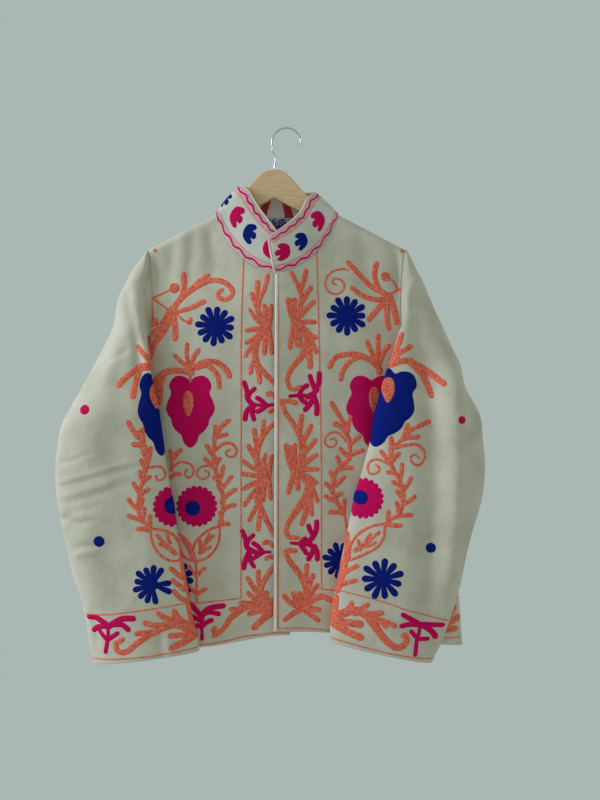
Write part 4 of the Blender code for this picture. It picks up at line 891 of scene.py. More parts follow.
def collar_stations(side):
    """Places along the collar from the centre back to a front end: (place, panel, across)."""
    shares = [i / NECK_COLUMNS for i in range(NECK_COLUMNS + 1)]
    back = [(COLLAR_BACK_SHARE * share, "back", neck_place(share)) for share in shares[:-1]]
    run = COLLAR_END_SHARE - COLLAR_BACK_SHARE
    front = [(COLLAR_BACK_SHARE + run * share, "front_" + side, neck_place(1 - share))
             for share in shares[1:]]
    seam = [(COLLAR_BACK_SHARE, "seam", NECK_HALF)]
    end = [] if side == "right" else [(1.0, "front_left", -OVER_LAP_AT_NECK)]
    return back + seam + front + end


def collar_foot(panel, a):
    """Point just above the neckline, where the collar stands on a panel."""
    step = 0.0005
    drop = BACK_NECK_DROP if panel == "back" else FRONT_NECK_DROP
    if panel == "seam":
        return Vector((a - FOOT_GAP, 0.0, NECK_Z + FOOT_GAP))
    z = neck_z(a, drop)
    slope = (neck_z(abs(a) + step, drop) - neck_z(max(abs(a) - step, 0.0), drop)) / step / 2
    aside = Vector((-slope, 0.0, 1.0)).normalized() * FOOT_GAP
    if a < 0:
        aside.x = 0.0
    return Vector((a, panel_y(panel, a, z), z)) + aside


def collar_line(side, s, panel, a, rows):
    """Points up the collar's outer face at one station."""
    foot = collar_foot(panel, a)
    top = Vector(curve_through(COLLAR_TOP[side], s))
    line = []
    for j in range(rows + 1):
        v = j / rows
        lean = foot.lerp(top, v)
        outward = Vector((lean.x * COLLAR_OUTWARD_ACROSS, lean.y * COLLAR_OUTWARD_DEPTH, 0.0)).normalized()
        line.append(lean + outward * COLLAR_BULGE * sin(pi * v))
    return line


def collar_grid(rows):
    """Grid of the whole collar, from the right front end round the back to the left front end."""
    right = [collar_line("right", s, panel, a, rows) for s, panel, a in collar_stations("right")]
    left = [collar_line("left", s, panel, a, rows) for s, panel, a in collar_stations("left")]
    return mirrored(right[1:]) + left


# Cloth meshes


def mirrored(grid):
    """The same grid on the viewer's left, with its lines reversed so that it still faces out."""
    return [[Vector((-point.x, point.y, point.z)) for point in line] for line in reversed(grid)]


def panel_columns(panel):
    """Places of the fine columns along the upper edge, from the centre to the shoulder's end."""
    neck = [neck_place(i / NECK_COLUMNS) for i in range(1, NECK_COLUMNS + 1)]
    width = SHOULDER_HALF - NECK_HALF
    shoulder = [NECK_HALF + width * i / SHOULDER_COLUMNS for i in range(1, SHOULDER_COLUMNS + 1)]
    if panel == "back":
        half = neck + shoulder
        return [-a for a in reversed(half)] + [0.0] + half
    if panel == "front_right":
        return [-UNDER_LAP, -UNDER_LAP * 2 / 3, -UNDER_LAP / 3, 0.0] + neck + shoulder
    return [-OVER_LAP_AT_NECK, 0.0] + neck + shoulder


def panel_rows():
    """Shares of the way from the upper edge to the hem, close together over the shoulder's roll."""
    full = SHOULDER_Z - SIDE_HEM_Z
    count = round((full - ROLL_DROPS[-1]) / ROW_STEP)
    rest = [ROLL_DROPS[-1] + (full - ROLL_DROPS[-1]) * i / count for i in range(1, count + 1)]
    return [drop / full for drop in ROLL_DROPS] + [drop / full for drop in rest]


def pairs(numbers):
    """Points from a plain run of numbers: across, drop, across, drop."""
    return list(zip(numbers[::2], numbers[1::2]))


def crease_lift(creases, a, z):
    """How far creases lift the cloth at (a, z) in the front view."""
    lift = 0.0
    across = a / MM
    drop = -z / MM
    for depth, width, *numbers in creases:
        points = pairs(numbers)
        run = len(points) - 1
        nearest = (CREASE_REACH * width, 0.0)
        for i in range(run):
            (a0, drop0), (a1, drop1) = points[i], points[i + 1]
            share = (across - a0) * (a1 - a0) + (drop - drop0) * (drop1 - drop0)
            share /= (a1 - a0) ** 2 + (drop1 - drop0) ** 2
            share = share if i == 0 else max(share, 0.0)
            share = share if i == run - 1 else min(share, 1.0)
            off = hypot(across - a0 - share * (a1 - a0), drop - drop0 - share * (drop1 - drop0))
            nearest = min(nearest, (off, (i + share) / run))
        off, place = nearest
        if off < CREASE_REACH * width:
            fade = smooth((place + CREASE_FADE) / (2 * CREASE_FADE))
            fade *= smooth((1 + CREASE_FADE - place) / (2 * CREASE_FADE))
            lift += depth * MM * fade * exp(-((off / width) ** 2))
    return lift


def soft_wave(point, seed):
    """The slight unevenness that all hanging cloth has."""
    x, y, z = WAVE_BROAD_SCALE
    broad = noise.noise(Vector((point.x * x + seed, point.y * y, point.z * z)))
    x, y, z = WAVE_SMALL_SCALE
    small = noise.noise(Vector((point.x * x, point.y * y + seed, point.z * z)))
    return (broad * WAVE_BROAD + small * WAVE_SMALL) * MM


def wrinkled(grid, closed, fronts, backs, seed, pinned):
    """The grid with its creases and waves raised along its own normals."""
    lines = len(grid)
    count = len(grid[0])
    moved = []
    for i in range(lines):
        line = []
        for j in range(count):
            before = grid[i][(j - 1) % count] if closed else grid[i][max(j - 1, 0)]
            after = grid[i][(j + 1) % count] if closed else grid[i][min(j + 1, count - 1)]
            along = grid[min(i + 1, lines - 1)][j] - grid[max(i - 1, 0)][j]
            normal = (after - before).cross(along).normalized()
            point = grid[i][j]
            facing = smooth(0.5 - normal.y * FACING_SHARPNESS)
            lift = crease_lift(fronts, point.x, point.z) * facing
            lift += crease_lift(backs, point.x, point.z) * (1 - facing)
            lift += soft_wave(point, seed)
            line.append(point + normal * lift * pinned(i, j))
        moved.append(line)
    return moved


def grid_mesh(name, grid, closed):
    """A mesh through a grid, with UVs in metres: across the lines in u, along them in v."""
    lines = len(grid)
    count = len(grid[0])
    points = [tuple(point) for line in grid for point in line]
    faces = []
    corners = []
    runs = [[0.0] for _ in range(lines)]
    for i in range(lines):
        for j in range(1, count + 1):
            runs[i].append(runs[i][-1] + (grid[i][j % count] - grid[i][j - 1]).length)
    middle = count // 2
    steps = [0.0]
    for i in range(1, lines):
        steps.append(steps[-1] + (grid[i][middle] - grid[i - 1][middle]).length)
    for i in range(lines - 1):
        for j in range(count if closed else count - 1):
            k = (j + 1) % count
            faces.append((i * count + j, i * count + k, (i + 1) * count + k, (i + 1) * count + j))
            corners += [(steps[i], runs[i][j]), (steps[i], runs[i][j + 1]),
                        (steps[i + 1], runs[i + 1][j + 1]), (steps[i + 1], runs[i + 1][j])]
    mesh = bpy.data.meshes.new(name)
    mesh.from_pydata(points, [], faces)
    layer = mesh.uv_layers.new(name="cloth")
    layer.data.foreach_set("uv", [value for corner in corners for value in corner])
    mesh.shade_smooth()
    return mesh


def add_piece(name, data, *looks, across=CENTRE_X):
    """Puts data into the scene as one named piece that rides with the object."""
    piece = bpy.data.objects.new(name, data)
    for look in looks:
        data.materials.append(look)
    bpy.context.scene.collection.objects.link(piece)
    piece.location.x = across
    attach(piece, "root")
    return piece


def add_shell(name, grid, closed, thickness, outside, inside):
    """One cloth wall of the jacket, with another look on its inner face."""
    piece = add_piece(name, grid_mesh(name, grid, closed), outside, inside)
    wall = piece.modifiers.new("cloth", "SOLIDIFY")
    wall.thickness = thickness
    wall.offset = -1.0
    wall.material_offset = 1
    wall.material_offset_rim = 0
    return piece


def surface_of(grid, closed):
    """A search tree of the outer face of a grid."""
    mesh = grid_mesh("search", grid, closed)
    corners = [vertex.co.copy() for vertex in mesh.vertices]
    tree = BVHTree.FromPolygons(corners, [tuple(face.vertices) for face in mesh.polygons])
    bpy.data.meshes.remove(mesh)
    return tree


def inset(grid, depth):
    """The same grid moved inward along its own normals."""
    lines = len(grid)
    rows = len(grid[0])
    moved = []
    for i in range(lines):
        line = []
        for j in range(rows):
            along = grid[min(i + 1, lines - 1)][j] - grid[max(i - 1, 0)][j]
            up = grid[i][min(j + 1, rows - 1)] - grid[i][max(j - 1, 0)]
            line.append(grid[i][j] + along.cross(up).normalized() * depth)
        moved.append(line)
    return moved


def tube_mesh(name, points, radius, sides=12, cap=True):
    """A round cord through points, with rounded ends."""
    rows = []
    up = Vector((0.0, 1.0, 0.0))
    total = len(points)
    for i, point in enumerate(points):
        ahead = (points[min(i + 1, total - 1)] - points[max(i - 1, 0)]).normalized()
        side = ahead.cross(up).normalized()
        rise = side.cross(ahead)
        turns = [2 * pi * k / sides for k in range(sides)]
        rows.append([point + (side * cos(turn) + rise * sin(turn)) * radius for turn in turns])
    if cap:
        for end, inward in ((0, 1), (-1, -2)):
            tip = points[end]
            way = (tip - points[inward]).normalized()
            ring = rows[end]
            for left, further in CORD_TIPS:
                smaller = [tip + (p - tip) * left + way * radius * further for p in ring]
                rows = [smaller] + rows if end == 0 else rows + [smaller]
    return grid_mesh(name, rows, True)


def hanger_outline():
    """Outline of the wooden bar in its own plane."""
    steps = [HANGER_END * i / HANGER_STEPS for i in range(HANGER_STEPS + 1)]
    top = [(a, curve_through(HANGER_TOP, a)[0]) for a in steps]
    bottom = [(a, curve_through(HANGER_BOTTOM, a)[0]) for a in steps]
    end_z = (top[-1][1] + bottom[-1][1]) / 2
    end_radius = (top[-1][1] - bottom[-1][1]) / 2
    tip_length = end_radius * HANGER_TIP_BLUNTNESS
    tip = [(HANGER_END + tip_length * cos(radians(turn)), end_z + end_radius * sin(radians(turn)))
           for turn in HANGER_TIP_TURNS]
    half = top + tip + bottom[::-1]
    return half + [(-a, z) for a, z in half[-2:0:-1]]


# Embroidery


class Stitching:
    """Raised thread work of one colour on one cloth surface, gathered into one mesh."""

    def __init__(self, name, tree, way):
        self.name = name
        self.tree = tree
        self.way = way
        self.points = []
        self.normals = []
        self.faces = []
        self.uvs = []

    def seen(self, a, z):
        """The cloth's point and normal met along the way, or None."""
        return self.tree.ray_cast(Vector((a, -self.way * REACH, z)), Vector((0.0, self.way, 0.0)))[:2]

    def edge_beside(self, a, z):
        """The cloth's edge level with a point beside it, found to a tenth of a millimetre."""
        for step in range(1, round(EDGE_PULL / MM) + 1):
            for side in (-1, 1):
                near = a + side * step * MM
                if self.seen(near, z)[0] is None:
                    continue
                far = near - side * MM
                for _ in range(EDGE_HALVINGS):
                    middle = (near + far) / 2
                    if self.seen(middle, z)[0] is None:
                        far = middle
                    else:
                        near = middle
                return self.seen(near, z)
        return None, None

    def lay(self, a, z, height):
        """Point over the cloth seen along the way, its normal, and whether it lies on the cloth."""
        hit, normal = self.seen(a, z)
        inside = hit is not None
        if not inside:
            hit, normal = self.edge_beside(a, z)
            if hit is None:
                return None
        if normal.y * self.way > 0:
            normal = -normal
        return hit + normal * height, normal, inside

    def grid(self, rows, uvs, closed=False):
        """Adds a grid of laid points; faces wholly beside the cloth are left out."""
        numbers = []
        for row, marks in zip(rows, uvs):
            line = []
            for laid, mark in zip(row, marks):
                if laid is None:
                    line.append(None)
                    continue
                point, normal, inside = laid
                line.append((len(self.points), mark, inside))
                self.points.append(point)
                self.normals.append(normal)
            numbers.append(line)
        for i in range(len(numbers) - 1):
            width = len(numbers[i])
            for j in range(width if closed else width - 1):
                k = (j + 1) % width
                corners = [numbers[i][j], numbers[i + 1][j], numbers[i + 1][k], numbers[i][k]]
                if None in corners or not any(corner[2] for corner in corners):
                    continue
                p, q, r, s = [self.points[corner[0]] for corner in corners]
                if (r - p).cross(s - q).dot(self.normals[corners[0][0]]) < 0:
                    corners.reverse()
                self.faces.append(tuple(corner[0] for corner in corners))
                self.uvs += [corner[1] for corner in corners]

    def stroke(self, start, end, points, height=None):
        """A round-ended band of chain rows along a line, from one width to the other, in millimetres."""
        length = sum(hypot(q[0] - p[0], q[1] - p[1]) for p, q in zip(points, points[1:]))
        steps = max(STROKE_FEWEST, round(length / STROKE_STEP))
        path = [spline([(a, drop, 0.0) for a, drop in points], i / steps) for i in range(steps + 1)]
        runs = [0.0]
        for p, q in zip(path, path[1:]):
            runs.append(runs[-1] + (q - p).length)
        total = runs[-1]
        cap = max(start, end) / 2
        height = height or min(THREAD_HEIGHT, THREAD_SLOPE * cap)
        places = [-cap * share for share in CAP_STEPS] + runs
        places += [total + cap * share for share in CAP_STEPS[::-1]]
        rows = []
        marks = []
        for place in places:
            inner = min(max(place, 0.0), total)
            i = min(sum(1 for run in runs if run <= inner) - 1, steps - 1)
            spot = path[i].lerp(path[i + 1], (inner - runs[i]) / max(runs[i + 1] - runs[i], 1e-6))
            ahead = (path[min(i + 2, steps)] - path[max(i - 1, 0)]).normalized()
            spot = spot + ahead * (place - inner)
            over = abs(place - inner) / cap
            half = (start + (end - start) * smooth(inner / total)) / 2
            half *= sqrt(max(CAP_LEAST, 1 - over * over))
            row = []
            for side in STROKE_SECTION:
                a = spot.x - ahead.y * half * side
                drop = spot.y + ahead.x * half * side
                top = height * (1 - side**4) * (1 - CAP_SINK * over**3) - THREAD_SINK
                row.append(self.lay(a * MM, -drop * MM, top * MM))
            rows.append(row)
            marks.append([(place * MM, half * side * MM) for side in STROKE_SECTION])
        self.grid(rows, marks)

    def patch(self, centre, outline, height=THREAD_HEIGHT):
        """A filled shape whose outline is a closed run of points round its centre, in millimetres."""
        level = [(x, y, 0.0) for x, y in outline]
        edge = [spline(level, k / PATCH_TURNS, closed=True) for k in range(PATCH_TURNS)]
        rows = []
        marks = []
        for share in PATCH_RINGS:
            top = height * (1 - share**PATCH_EDGE_POWER) - THREAD_SINK
            spots = [(centre[0] + p.x * share, centre[1] + p.y * share) for p in edge]
            rows.append([self.lay(a * MM, -drop * MM, top * MM) for a, drop in spots])
            marks.append([(2 * pi * k / PATCH_TURNS * share * p.length * MM, share * p.length * MM)
                          for k, p in enumerate(edge)])
        self.grid(rows, marks, closed=True)

    def finish(self, look):
        """Makes the gathered work one piece."""
        mesh = bpy.data.meshes.new(self.name)
        mesh.from_pydata([tuple(point) for point in self.points], [], self.faces)
        layer = mesh.uv_layers.new(name="thread")
        layer.data.foreach_set("uv", [value for mark in self.uvs for value in mark])
        mesh.shade_smooth()
        return add_piece(self.name, mesh, look)


class CollarStitching(Stitching):
    """Thread work on the collar, by millimetres along its middle and up from its foot."""

    def __init__(self, name, lines):
        super().__init__(name, None, 1.0)
        self.lines = lines
        middle = len(lines[0]) // 2
        self.runs = [0.0]
        for p, q in zip(lines, lines[1:]):
            self.runs.append(self.runs[-1] + (q[middle] - p[middle]).length)

    def lay(self, a, z, height):
        """Point over the collar, its normal, and whether it lies on the collar."""
        place = min(max(a, 0.0), self.runs[-1])
        i = min(sum(1 for run in self.runs if run <= place) - 1, len(self.lines) - 2)
        across = (place - self.runs[i]) / (self.runs[i + 1] - self.runs[i])
        share = min(max(-z / COLLAR_NOMINAL, 0.0), 1.0) * (len(self.lines[0]) - 1)
        j = min(int(share), len(self.lines[0]) - 2)
        up = share - j
        low = self.lines[i][j].lerp(self.lines[i + 1][j], across)
        high = self.lines[i][j + 1].lerp(self.lines[i + 1][j + 1], across)
        along = self.lines[i + 1][j] - self.lines[i][j]
        normal = (high - low).cross(along).normalized()
        return low.lerp(high, up) + normal * height, normal, place == a


def circle(radius):
    """A round outline."""
    turns = [k * pi / CIRCLE_STEPS for k in range(2 * CIRCLE_STEPS)]
    return [(radius * sin(turn), -radius * cos(turn)) for turn in turns]


def scalloped(radius, count, depth):
    """Outline of a disc with round lobes."""
    steps = count * SCALLOP_STEPS
    outline = []
    for k in range(steps):
        reach = radius - depth * (1 - abs(sin(pi * k / SCALLOP_STEPS)) ** SCALLOP_ROUNDNESS)
        outline.append((reach * sin(2 * pi * k / steps), -reach * cos(2 * pi * k / steps)))
    return outline


def both_halves(half, wide, tall, lean):
    """A closed outline from its right half, top to bottom, made wider, taller and leaning."""
    turn = radians(lean)
    whole = list(half) + [(-x, y) for x, y in half[-2:0:-1]]
    return [(x * wide * cos(turn) - y * tall * sin(turn), x * wide * sin(turn) + y * tall * cos(turn))
            for x, y in whole]


def rosette(work, centre, radius, petals, width, lean=0.0, missing=()):
    """A flower of round-ended petals that meet in the middle."""
    for k in range(petals):
        if k in missing:
            continue
        angle = 2 * pi * k / petals + radians(lean)
        reach = radius * (1 - PETAL_UNEVEN * sin(k * PETAL_TURN)) - width / 2
        lengths = (radius * PETAL_START, radius * PETAL_HALFWAY, reach)
        points = [(centre[0] + s * sin(angle), centre[1] - s * cos(angle)) for s in lengths]
        work.stroke(width * PETAL_WIDENING, width, points)
    work.patch(centre, circle(radius * ROSETTE_HEART))


# Materials


def linear(code):
    """Turns an sRGB hex colour into linear RGBA."""
    channels = [int(code[i:i + 2], 16) / 255 for i in (1, 3, 5)]
    return tuple(c / 12.92 if c <= 0.04045 else ((c + 0.055) / 1.055) ** 2.4 for c in channels) + (1.0,)


def put(tree, kind, inputs=None, stops=(), **settings):
    """Adds a node with its settings, links and ramp stops; inputs maps a socket to a value or an output."""
    node = tree.nodes.new(kind)
    for key, value in settings.items():
        setattr(node, key, value)
    for key, value in (inputs or {}).items():
        if isinstance(value, bpy.types.NodeSocket):
            tree.links.new(value, node.inputs[key])
        else:
            node.inputs[key].default_value = value
    for i, (place, code) in enumerate(stops):
        marks = node.color_ramp.elements
        mark = marks[i] if i < len(marks) else marks.new(place)
        mark.position = place
        mark.color = linear(code)
    return node


def new_look(name, roughness, **sockets):
    """A material with its even values set on the shader's own sockets."""
    look = bpy.data.materials.new(name)
    look.use_nodes = True
    tree = look.node_tree
    shader = tree.nodes["Principled BSDF"]
    shader.inputs["Roughness"].default_value = roughness
    for key, value in sockets.items():
        shader.inputs[key.replace("_", " ")].default_value = value
    return look, tree, shader, put(tree, "ShaderNodeTexCoord").outputs["Object"]


def cotton_nap(name, light, mid, dark, sheen=0.15):
    """Soft brushed cotton: matt, with a faint pale sheen at its edges, a cloudy nap and a fine weave."""
    look, tree, shader, place = new_look(name, 0.85, Sheen_Weight=sheen, Sheen_Roughness=0.45,
                                         Specular_IOR_Level=0.3)
    cloud = put(tree, "ShaderNodeTexNoise",
                {"Vector": place, "Scale": 22.0, "Detail": 5.0, "Roughness": 0.55})
    tint = put(tree, "ShaderNodeValToRGB", {"Fac": cloud.outputs["Fac"]},
               ((0.30, dark), (0.52, mid), (0.72, light)))
    # A yarn is about 0.5 mm thick; it is drawn at 1.2 mm, the finest that still shows
    weave = put(tree, "ShaderNodeTexNoise", {"Vector": place, "Scale": 820.0, "Detail": 2.0})
    pucker = put(tree, "ShaderNodeTexNoise", {"Vector": place, "Scale": 70.0, "Detail": 3.0})
    soft = put(tree, "ShaderNodeBump", {"Height": pucker.outputs["Fac"], "Distance": 0.0016, "Strength": 0.6})
    fine = put(tree, "ShaderNodeBump", {"Height": weave.outputs["Fac"], "Distance": 0.0003, "Strength": 0.5,
                                        "Normal": soft.outputs["Normal"]})
    tree.links.new(tint.outputs["Color"], shader.inputs["Base Color"])
    tree.links.new(fine.outputs["Normal"], shader.inputs["Normal"])
    return look


def chain_thread(name, light, mid, dark, shade_and_fleck_contrast, relief):
    """Stranded cotton in chain stitch: rows of small links that follow each shape, with little gloss. Its
    colour is painted darker in the grooves between links and lighter on their raised tops (painted shade and
    painted highlight), mixed with random flecks of tone.
    """
    look, tree, shader, place = new_look(name, 0.7, Specular_IOR_Level=0.08)
    marks = put(tree, "ShaderNodeUVMap", uv_map="thread").outputs["UV"]
    parts = put(tree, "ShaderNodeSeparateXYZ", {"Vector": marks})
    # Real rows are about 1 mm apart; they are drawn at CHAIN_ROW, the finest that still shows
    row = put(tree, "ShaderNodeMath", {0: parts.outputs["Y"], 1: 2 * pi / CHAIN_ROW}, operation="MULTIPLY")
    row_wave = put(tree, "ShaderNodeMath", {0: row.outputs[0]}, operation="COSINE")
    link = put(tree, "ShaderNodeMath", {0: parts.outputs["X"], 1: 2 * pi / CHAIN_LINK}, operation="MULTIPLY")
    lag = put(tree, "ShaderNodeMath", {0: row_wave.outputs[0], 1: 1.4, 2: link.outputs[0]},
              operation="MULTIPLY_ADD")
    link_wave = put(tree, "ShaderNodeMath", {0: lag.outputs[0]}, operation="SINE")
    both = put(tree, "ShaderNodeMath", {0: row_wave.outputs[0], 1: link_wave.outputs[0]}, operation="ADD")
    height = put(tree, "ShaderNodeMath", {0: both.outputs[0], 1: 0.25, 2: 0.5}, operation="MULTIPLY_ADD")
    fleck = put(tree, "ShaderNodeTexNoise", {"Vector": place, "Scale": 300.0, "Detail": 2.0})
    # The colour follows the links' height: the dark stop is painted shade in the grooves, the light stop
    # painted highlight on the link tops, mixed with random flecks
    link_shade_and_fleck = put(tree, "ShaderNodeMath", {0: height.outputs[0], 1: 0.6, 2: fleck.outputs["Fac"]},
                operation="MULTIPLY_ADD")
    link_shade_spread = put(tree, "ShaderNodeMapRange", {"Value": link_shade_and_fleck.outputs[0], "From Min": 0.8 - 0.5 / shade_and_fleck_contrast,
                                              "From Max": 0.8 + 0.5 / shade_and_fleck_contrast})
    tint = put(tree, "ShaderNodeValToRGB", {"Fac": link_shade_spread.outputs[0]},
               ((0.15, dark), (0.5, mid), (0.85, light)))
    bump = put(tree, "ShaderNodeBump", {"Height": height.outputs[0], "Distance": 0.0008, "Strength": relief})
    tree.links.new(tint.outputs["Color"], shader.inputs["Base Color"])
    tree.links.new(bump.outputs["Normal"], shader.inputs["Normal"])
    return look


def printed_cotton(name):
    """Plain cotton with a dense, mottled print: small pale marks lost in dark blue and violet."""
    look, tree, shader, place = new_look(name, 0.8, Specular_IOR_Level=0.3)
    blots = put(tree, "ShaderNodeTexVoronoi", {"Vector": place, "Scale": 240.0})
    wash = put(tree, "ShaderNodeTexNoise", {"Vector": place, "Scale": 160.0, "Detail": 3.0})
    both = put(tree, "ShaderNodeMath", {0: blots.outputs["Distance"], 1: wash.outputs["Fac"]},
               operation="MULTIPLY")
    tint = put(tree, "ShaderNodeValToRGB", {"Fac": both.outputs[0]},
               ((0.10, "#20204E"), (0.22, "#4A4283"), (0.34, "#9A93BE"), (0.46, "#D2CBDF")))
    bump = put(tree, "ShaderNodeBump", {"Height": wash.outputs["Fac"], "Distance": 0.0003, "Strength": 0.4})
    tree.links.new(tint.outputs["Color"], shader.inputs["Base Color"])
    tree.links.new(bump.outputs["Normal"], shader.inputs["Normal"])
    return look


def striped_cotton(name):
    """Plain cotton woven in upright stripes, red 11 mm and white 21 mm wide."""
    look, tree, shader, place = new_look(name, 0.8, Specular_IOR_Level=0.3)
    marks = put(tree, "ShaderNodeUVMap", uv_map="cloth").outputs["UV"]
    parts = put(tree, "ShaderNodeSeparateXYZ", {"Vector": marks})
    turn = put(tree, "ShaderNodeMath", {0: parts.outputs["X"], 1: 1 / STRIPE_PAIR, 2: STRIPE_SHIFT},
               operation="MULTIPLY_ADD")
    share = put(tree, "ShaderNodeMath", {0: turn.outputs[0]}, operation="FRACT")
    tint = put(tree, "ShaderNodeValToRGB", {"Fac": share.outputs[0]},
               ((0.0, "#B9302F"), (0.33, "#B9302F"), (0.36, "#DCD5D2"), (0.97, "#DCD5D2")))
    weave = put(tree, "ShaderNodeTexNoise", {"Vector": place, "Scale": 800.0, "Detail": 2.0})
    bump = put(tree, "ShaderNodeBump", {"Height": weave.outputs["Fac"], "Distance": 0.0003, "Strength": 0.5})
    tree.links.new(tint.outputs["Color"], shader.inputs["Base Color"])
    tree.links.new(bump.outputs["Normal"], shader.inputs["Normal"])
    return look


def lacquered_beech(name):
    """Beech with a satin lacquer: fine long grain with short dark flecks, softly glossy."""
    look, tree, shader, place = new_look(name, 0.45, Coat_Weight=0.15, Coat_Roughness=0.3)
    long_way = put(tree, "ShaderNodeMapping", {"Vector": place, "Scale": (14.0, 150.0, 240.0)})
    grain = put(tree, "ShaderNodeTexNoise", {"Vector": long_way.outputs[0], "Detail": 6.0, "Distortion": 0.4})
    fleck_way = put(tree, "ShaderNodeMapping", {"Vector": place, "Scale": (160.0, 900.0, 900.0)})
    fleck = put(tree, "ShaderNodeTexNoise", {"Vector": fleck_way.outputs[0], "Detail": 2.0})
    both = put(tree, "ShaderNodeMath", {0: fleck.outputs["Fac"], 1: 0.35, 2: grain.outputs["Fac"]},
               operation="MULTIPLY_ADD")
    tint = put(tree, "ShaderNodeValToRGB", {"Fac": both.outputs[0]},
               ((0.40, "#CCA071"), (0.66, "#E2B98B"), (0.95, "#ECCBA2")))
    bump = put(tree, "ShaderNodeBump", {"Height": grain.outputs["Fac"], "Distance": 0.0002, "Strength": 0.4})
    tree.links.new(tint.outputs["Color"], shader.inputs["Base Color"])
    tree.links.new(bump.outputs["Normal"], shader.inputs["Normal"])
    return look


def plated_wire(name, code, roughness):
    """Plated steel: bright, with fine drawing marks that soften its gloss in places."""
    look, tree, shader, place = new_look(name, roughness, Metallic=1.0)
    marks = put(tree, "ShaderNodeTexNoise", {"Vector": place, "Scale": 900.0, "Detail": 2.0})
    tint = put(tree, "ShaderNodeValToRGB", {"Fac": marks.outputs["Fac"]}, ((0.35, code), (0.75, "#F2F2F0")))
    gloss = put(tree, "ShaderNodeMapRange",
                {"Value": marks.outputs["Fac"], "To Min": roughness, "To Max": roughness + 0.15})
    tree.links.new(tint.outputs["Color"], shader.inputs["Base Color"])
    tree.links.new(gloss.outputs[0], shader.inputs["Roughness"])
    return look


cream = cotton_nap("cream_brushed_cotton", "#D5CCB8", "#CEC5B1", "#C3B9A4")
edge_cream_painted_highlight = cotton_nap("folded_cotton_edge_painted_highlight", "#EBE4D8", "#E6DFD2", "#D9D1C3")
# The folded edge is the body's cloth drawn lighter: a painted highlight standing for light on the raised fold
collar_white = cotton_nap("white_brushed_cotton", "#DAD5CA", "#D4CEC2", "#C9C2B5")
piping_cream = cotton_nap("cotton_piping", "#F0DDD2", "#E8D2C6", "#D8BFB3", sheen=0.05)
# In each thread the dark and light stops are painted shade in the stitch grooves and painted highlight on the
# link tops
coral = chain_thread("coral_chain_stitch", "#FF9D84", "#FA7154", "#DC4930", 1.5, 0.8)
magenta = chain_thread("magenta_filling_stitch", "#E20A66", "#D6065A", "#BC034A", 0.8, 0.45)
navy = chain_thread("navy_filling_stitch", "#08269A", "#051B78", "#031256", 0.8, 0.45)
pink = chain_thread("pale_pink_band_stitch", "#F0C6CA", "#E6B2B8", "#D593A0", 1.2, 0.8)
lining_print = printed_cotton("printed_cotton_lining")
lining_stripe = striped_cotton("striped_cotton_lining")
beech = lacquered_beech("lacquered_beech")
steel = plated_wire("plated_steel_wire", "#A9ABAD", 0.24)
bright_cap = plated_wire("bright_plated_cap", "#D8D8D6", 0.12)
LOOKS = {"coral": coral, "magenta": magenta, "navy": navy, "pink": pink}

# Jacket panels
all_rows = panel_rows()
grids = {}
for panel in ("front_right", "front_left", "back"):
    grid = [[panel_point(panel, a, v) for v in all_rows] for a in panel_columns(panel)]
    if panel == "back":
        for line in grid:
            for v, point in zip(all_rows, line):
                rise = smooth((v - BACK_HEM_START) / BACK_HEM_RUN)
                rise *= 1 - smooth((abs(point.x) - BACK_HEM_HALF) / BACK_HEM_FADE)
                point.z += BACK_HEM_RISE * rise
    if panel == "front_right":
        grid = mirrored(grid)
    elif panel == "back":
        grid = grid[::-1]

    def hold(i, j, last_line=len(grid) - 1):
        """Keeps the seams where they are: no lift on the upper edge and the side edges."""
        return smooth(j / HELD_ROWS) * smooth(min(i, last_line - i) / HELD_COLUMNS)

    fronts = CREASES.get(panel, ()) if panel != "back" else ()
    backs = CREASES["back"] if panel == "back" else ()
    grids[panel] = wrinkled(grid, False, fronts, backs, WAVE_SEEDS[panel], hold)

# Sleeves
for name in ("sleeve_right", "sleeve_left"):
    coarse = sleeve_rings(name)
    shares = [k / SLEEVE_AROUND for k in range(SLEEVE_AROUND)]
    around = [[spline(ring, share, closed=True) for share in shares] for ring in coarse]
    fine = []
    steps = (len(coarse) - 1) * SLEEVE_STEPS
    for k in range(steps + 1):
        fine.append([spline([ring[i] for ring in around], k / steps) for i in range(SLEEVE_AROUND)])
    if name == "sleeve_right":
        fine = mirrored(fine)

    def hold(i, j, last=len(fine) - 1, from_end=name == "sleeve_right"):
        """Keeps the armhole seam where it is."""
        return smooth((last - i if from_end else i) / HELD_RINGS)

    grids[name] = wrinkled(fine, True, CREASES[name], CREASES[name + "_back"], WAVE_SEEDS[name], hold)

trees = {name: surface_of(grid, name.startswith("sleeve")) for name, grid in grids.items()}
for name, grid in grids.items():
    shell = add_shell(name + "_cloth", grid, name.startswith("sleeve"), SHELL, cream, lining_print)
    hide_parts(name)

# Linings and collar
lining_rows = [j for j, v in enumerate(all_rows)
               if LINING_START <= v * (SHOULDER_Z - SIDE_HEM_Z) <= LINING_END]
lining_grid = []
for a, line in zip(reversed(panel_columns("back")), grids["back"]):
    if abs(a) <= LINING_WIDTH_SHARE * SHOULDER_HALF:
        lining_grid.append([line[j] - Vector((0.0, SHELL + LINING_GAP, 0.0)) for j in lining_rows])
lining = add_shell("back_lining_cloth", lining_grid, False, LINING_SHELL, lining_print, lining_print)
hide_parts("back_lining")

collar_form = collar_grid(COLLAR_ROWS)
collar = add_shell("collar_cloth", collar_form, False, SHELL, collar_white, collar_white)
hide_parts("collar")

facing = add_shell("collar_lining_cloth", inset(collar_form, SHELL + SEAM_GAP), False, LINING_SHELL,
                   lining_stripe, lining_stripe)
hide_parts("collar_lining")

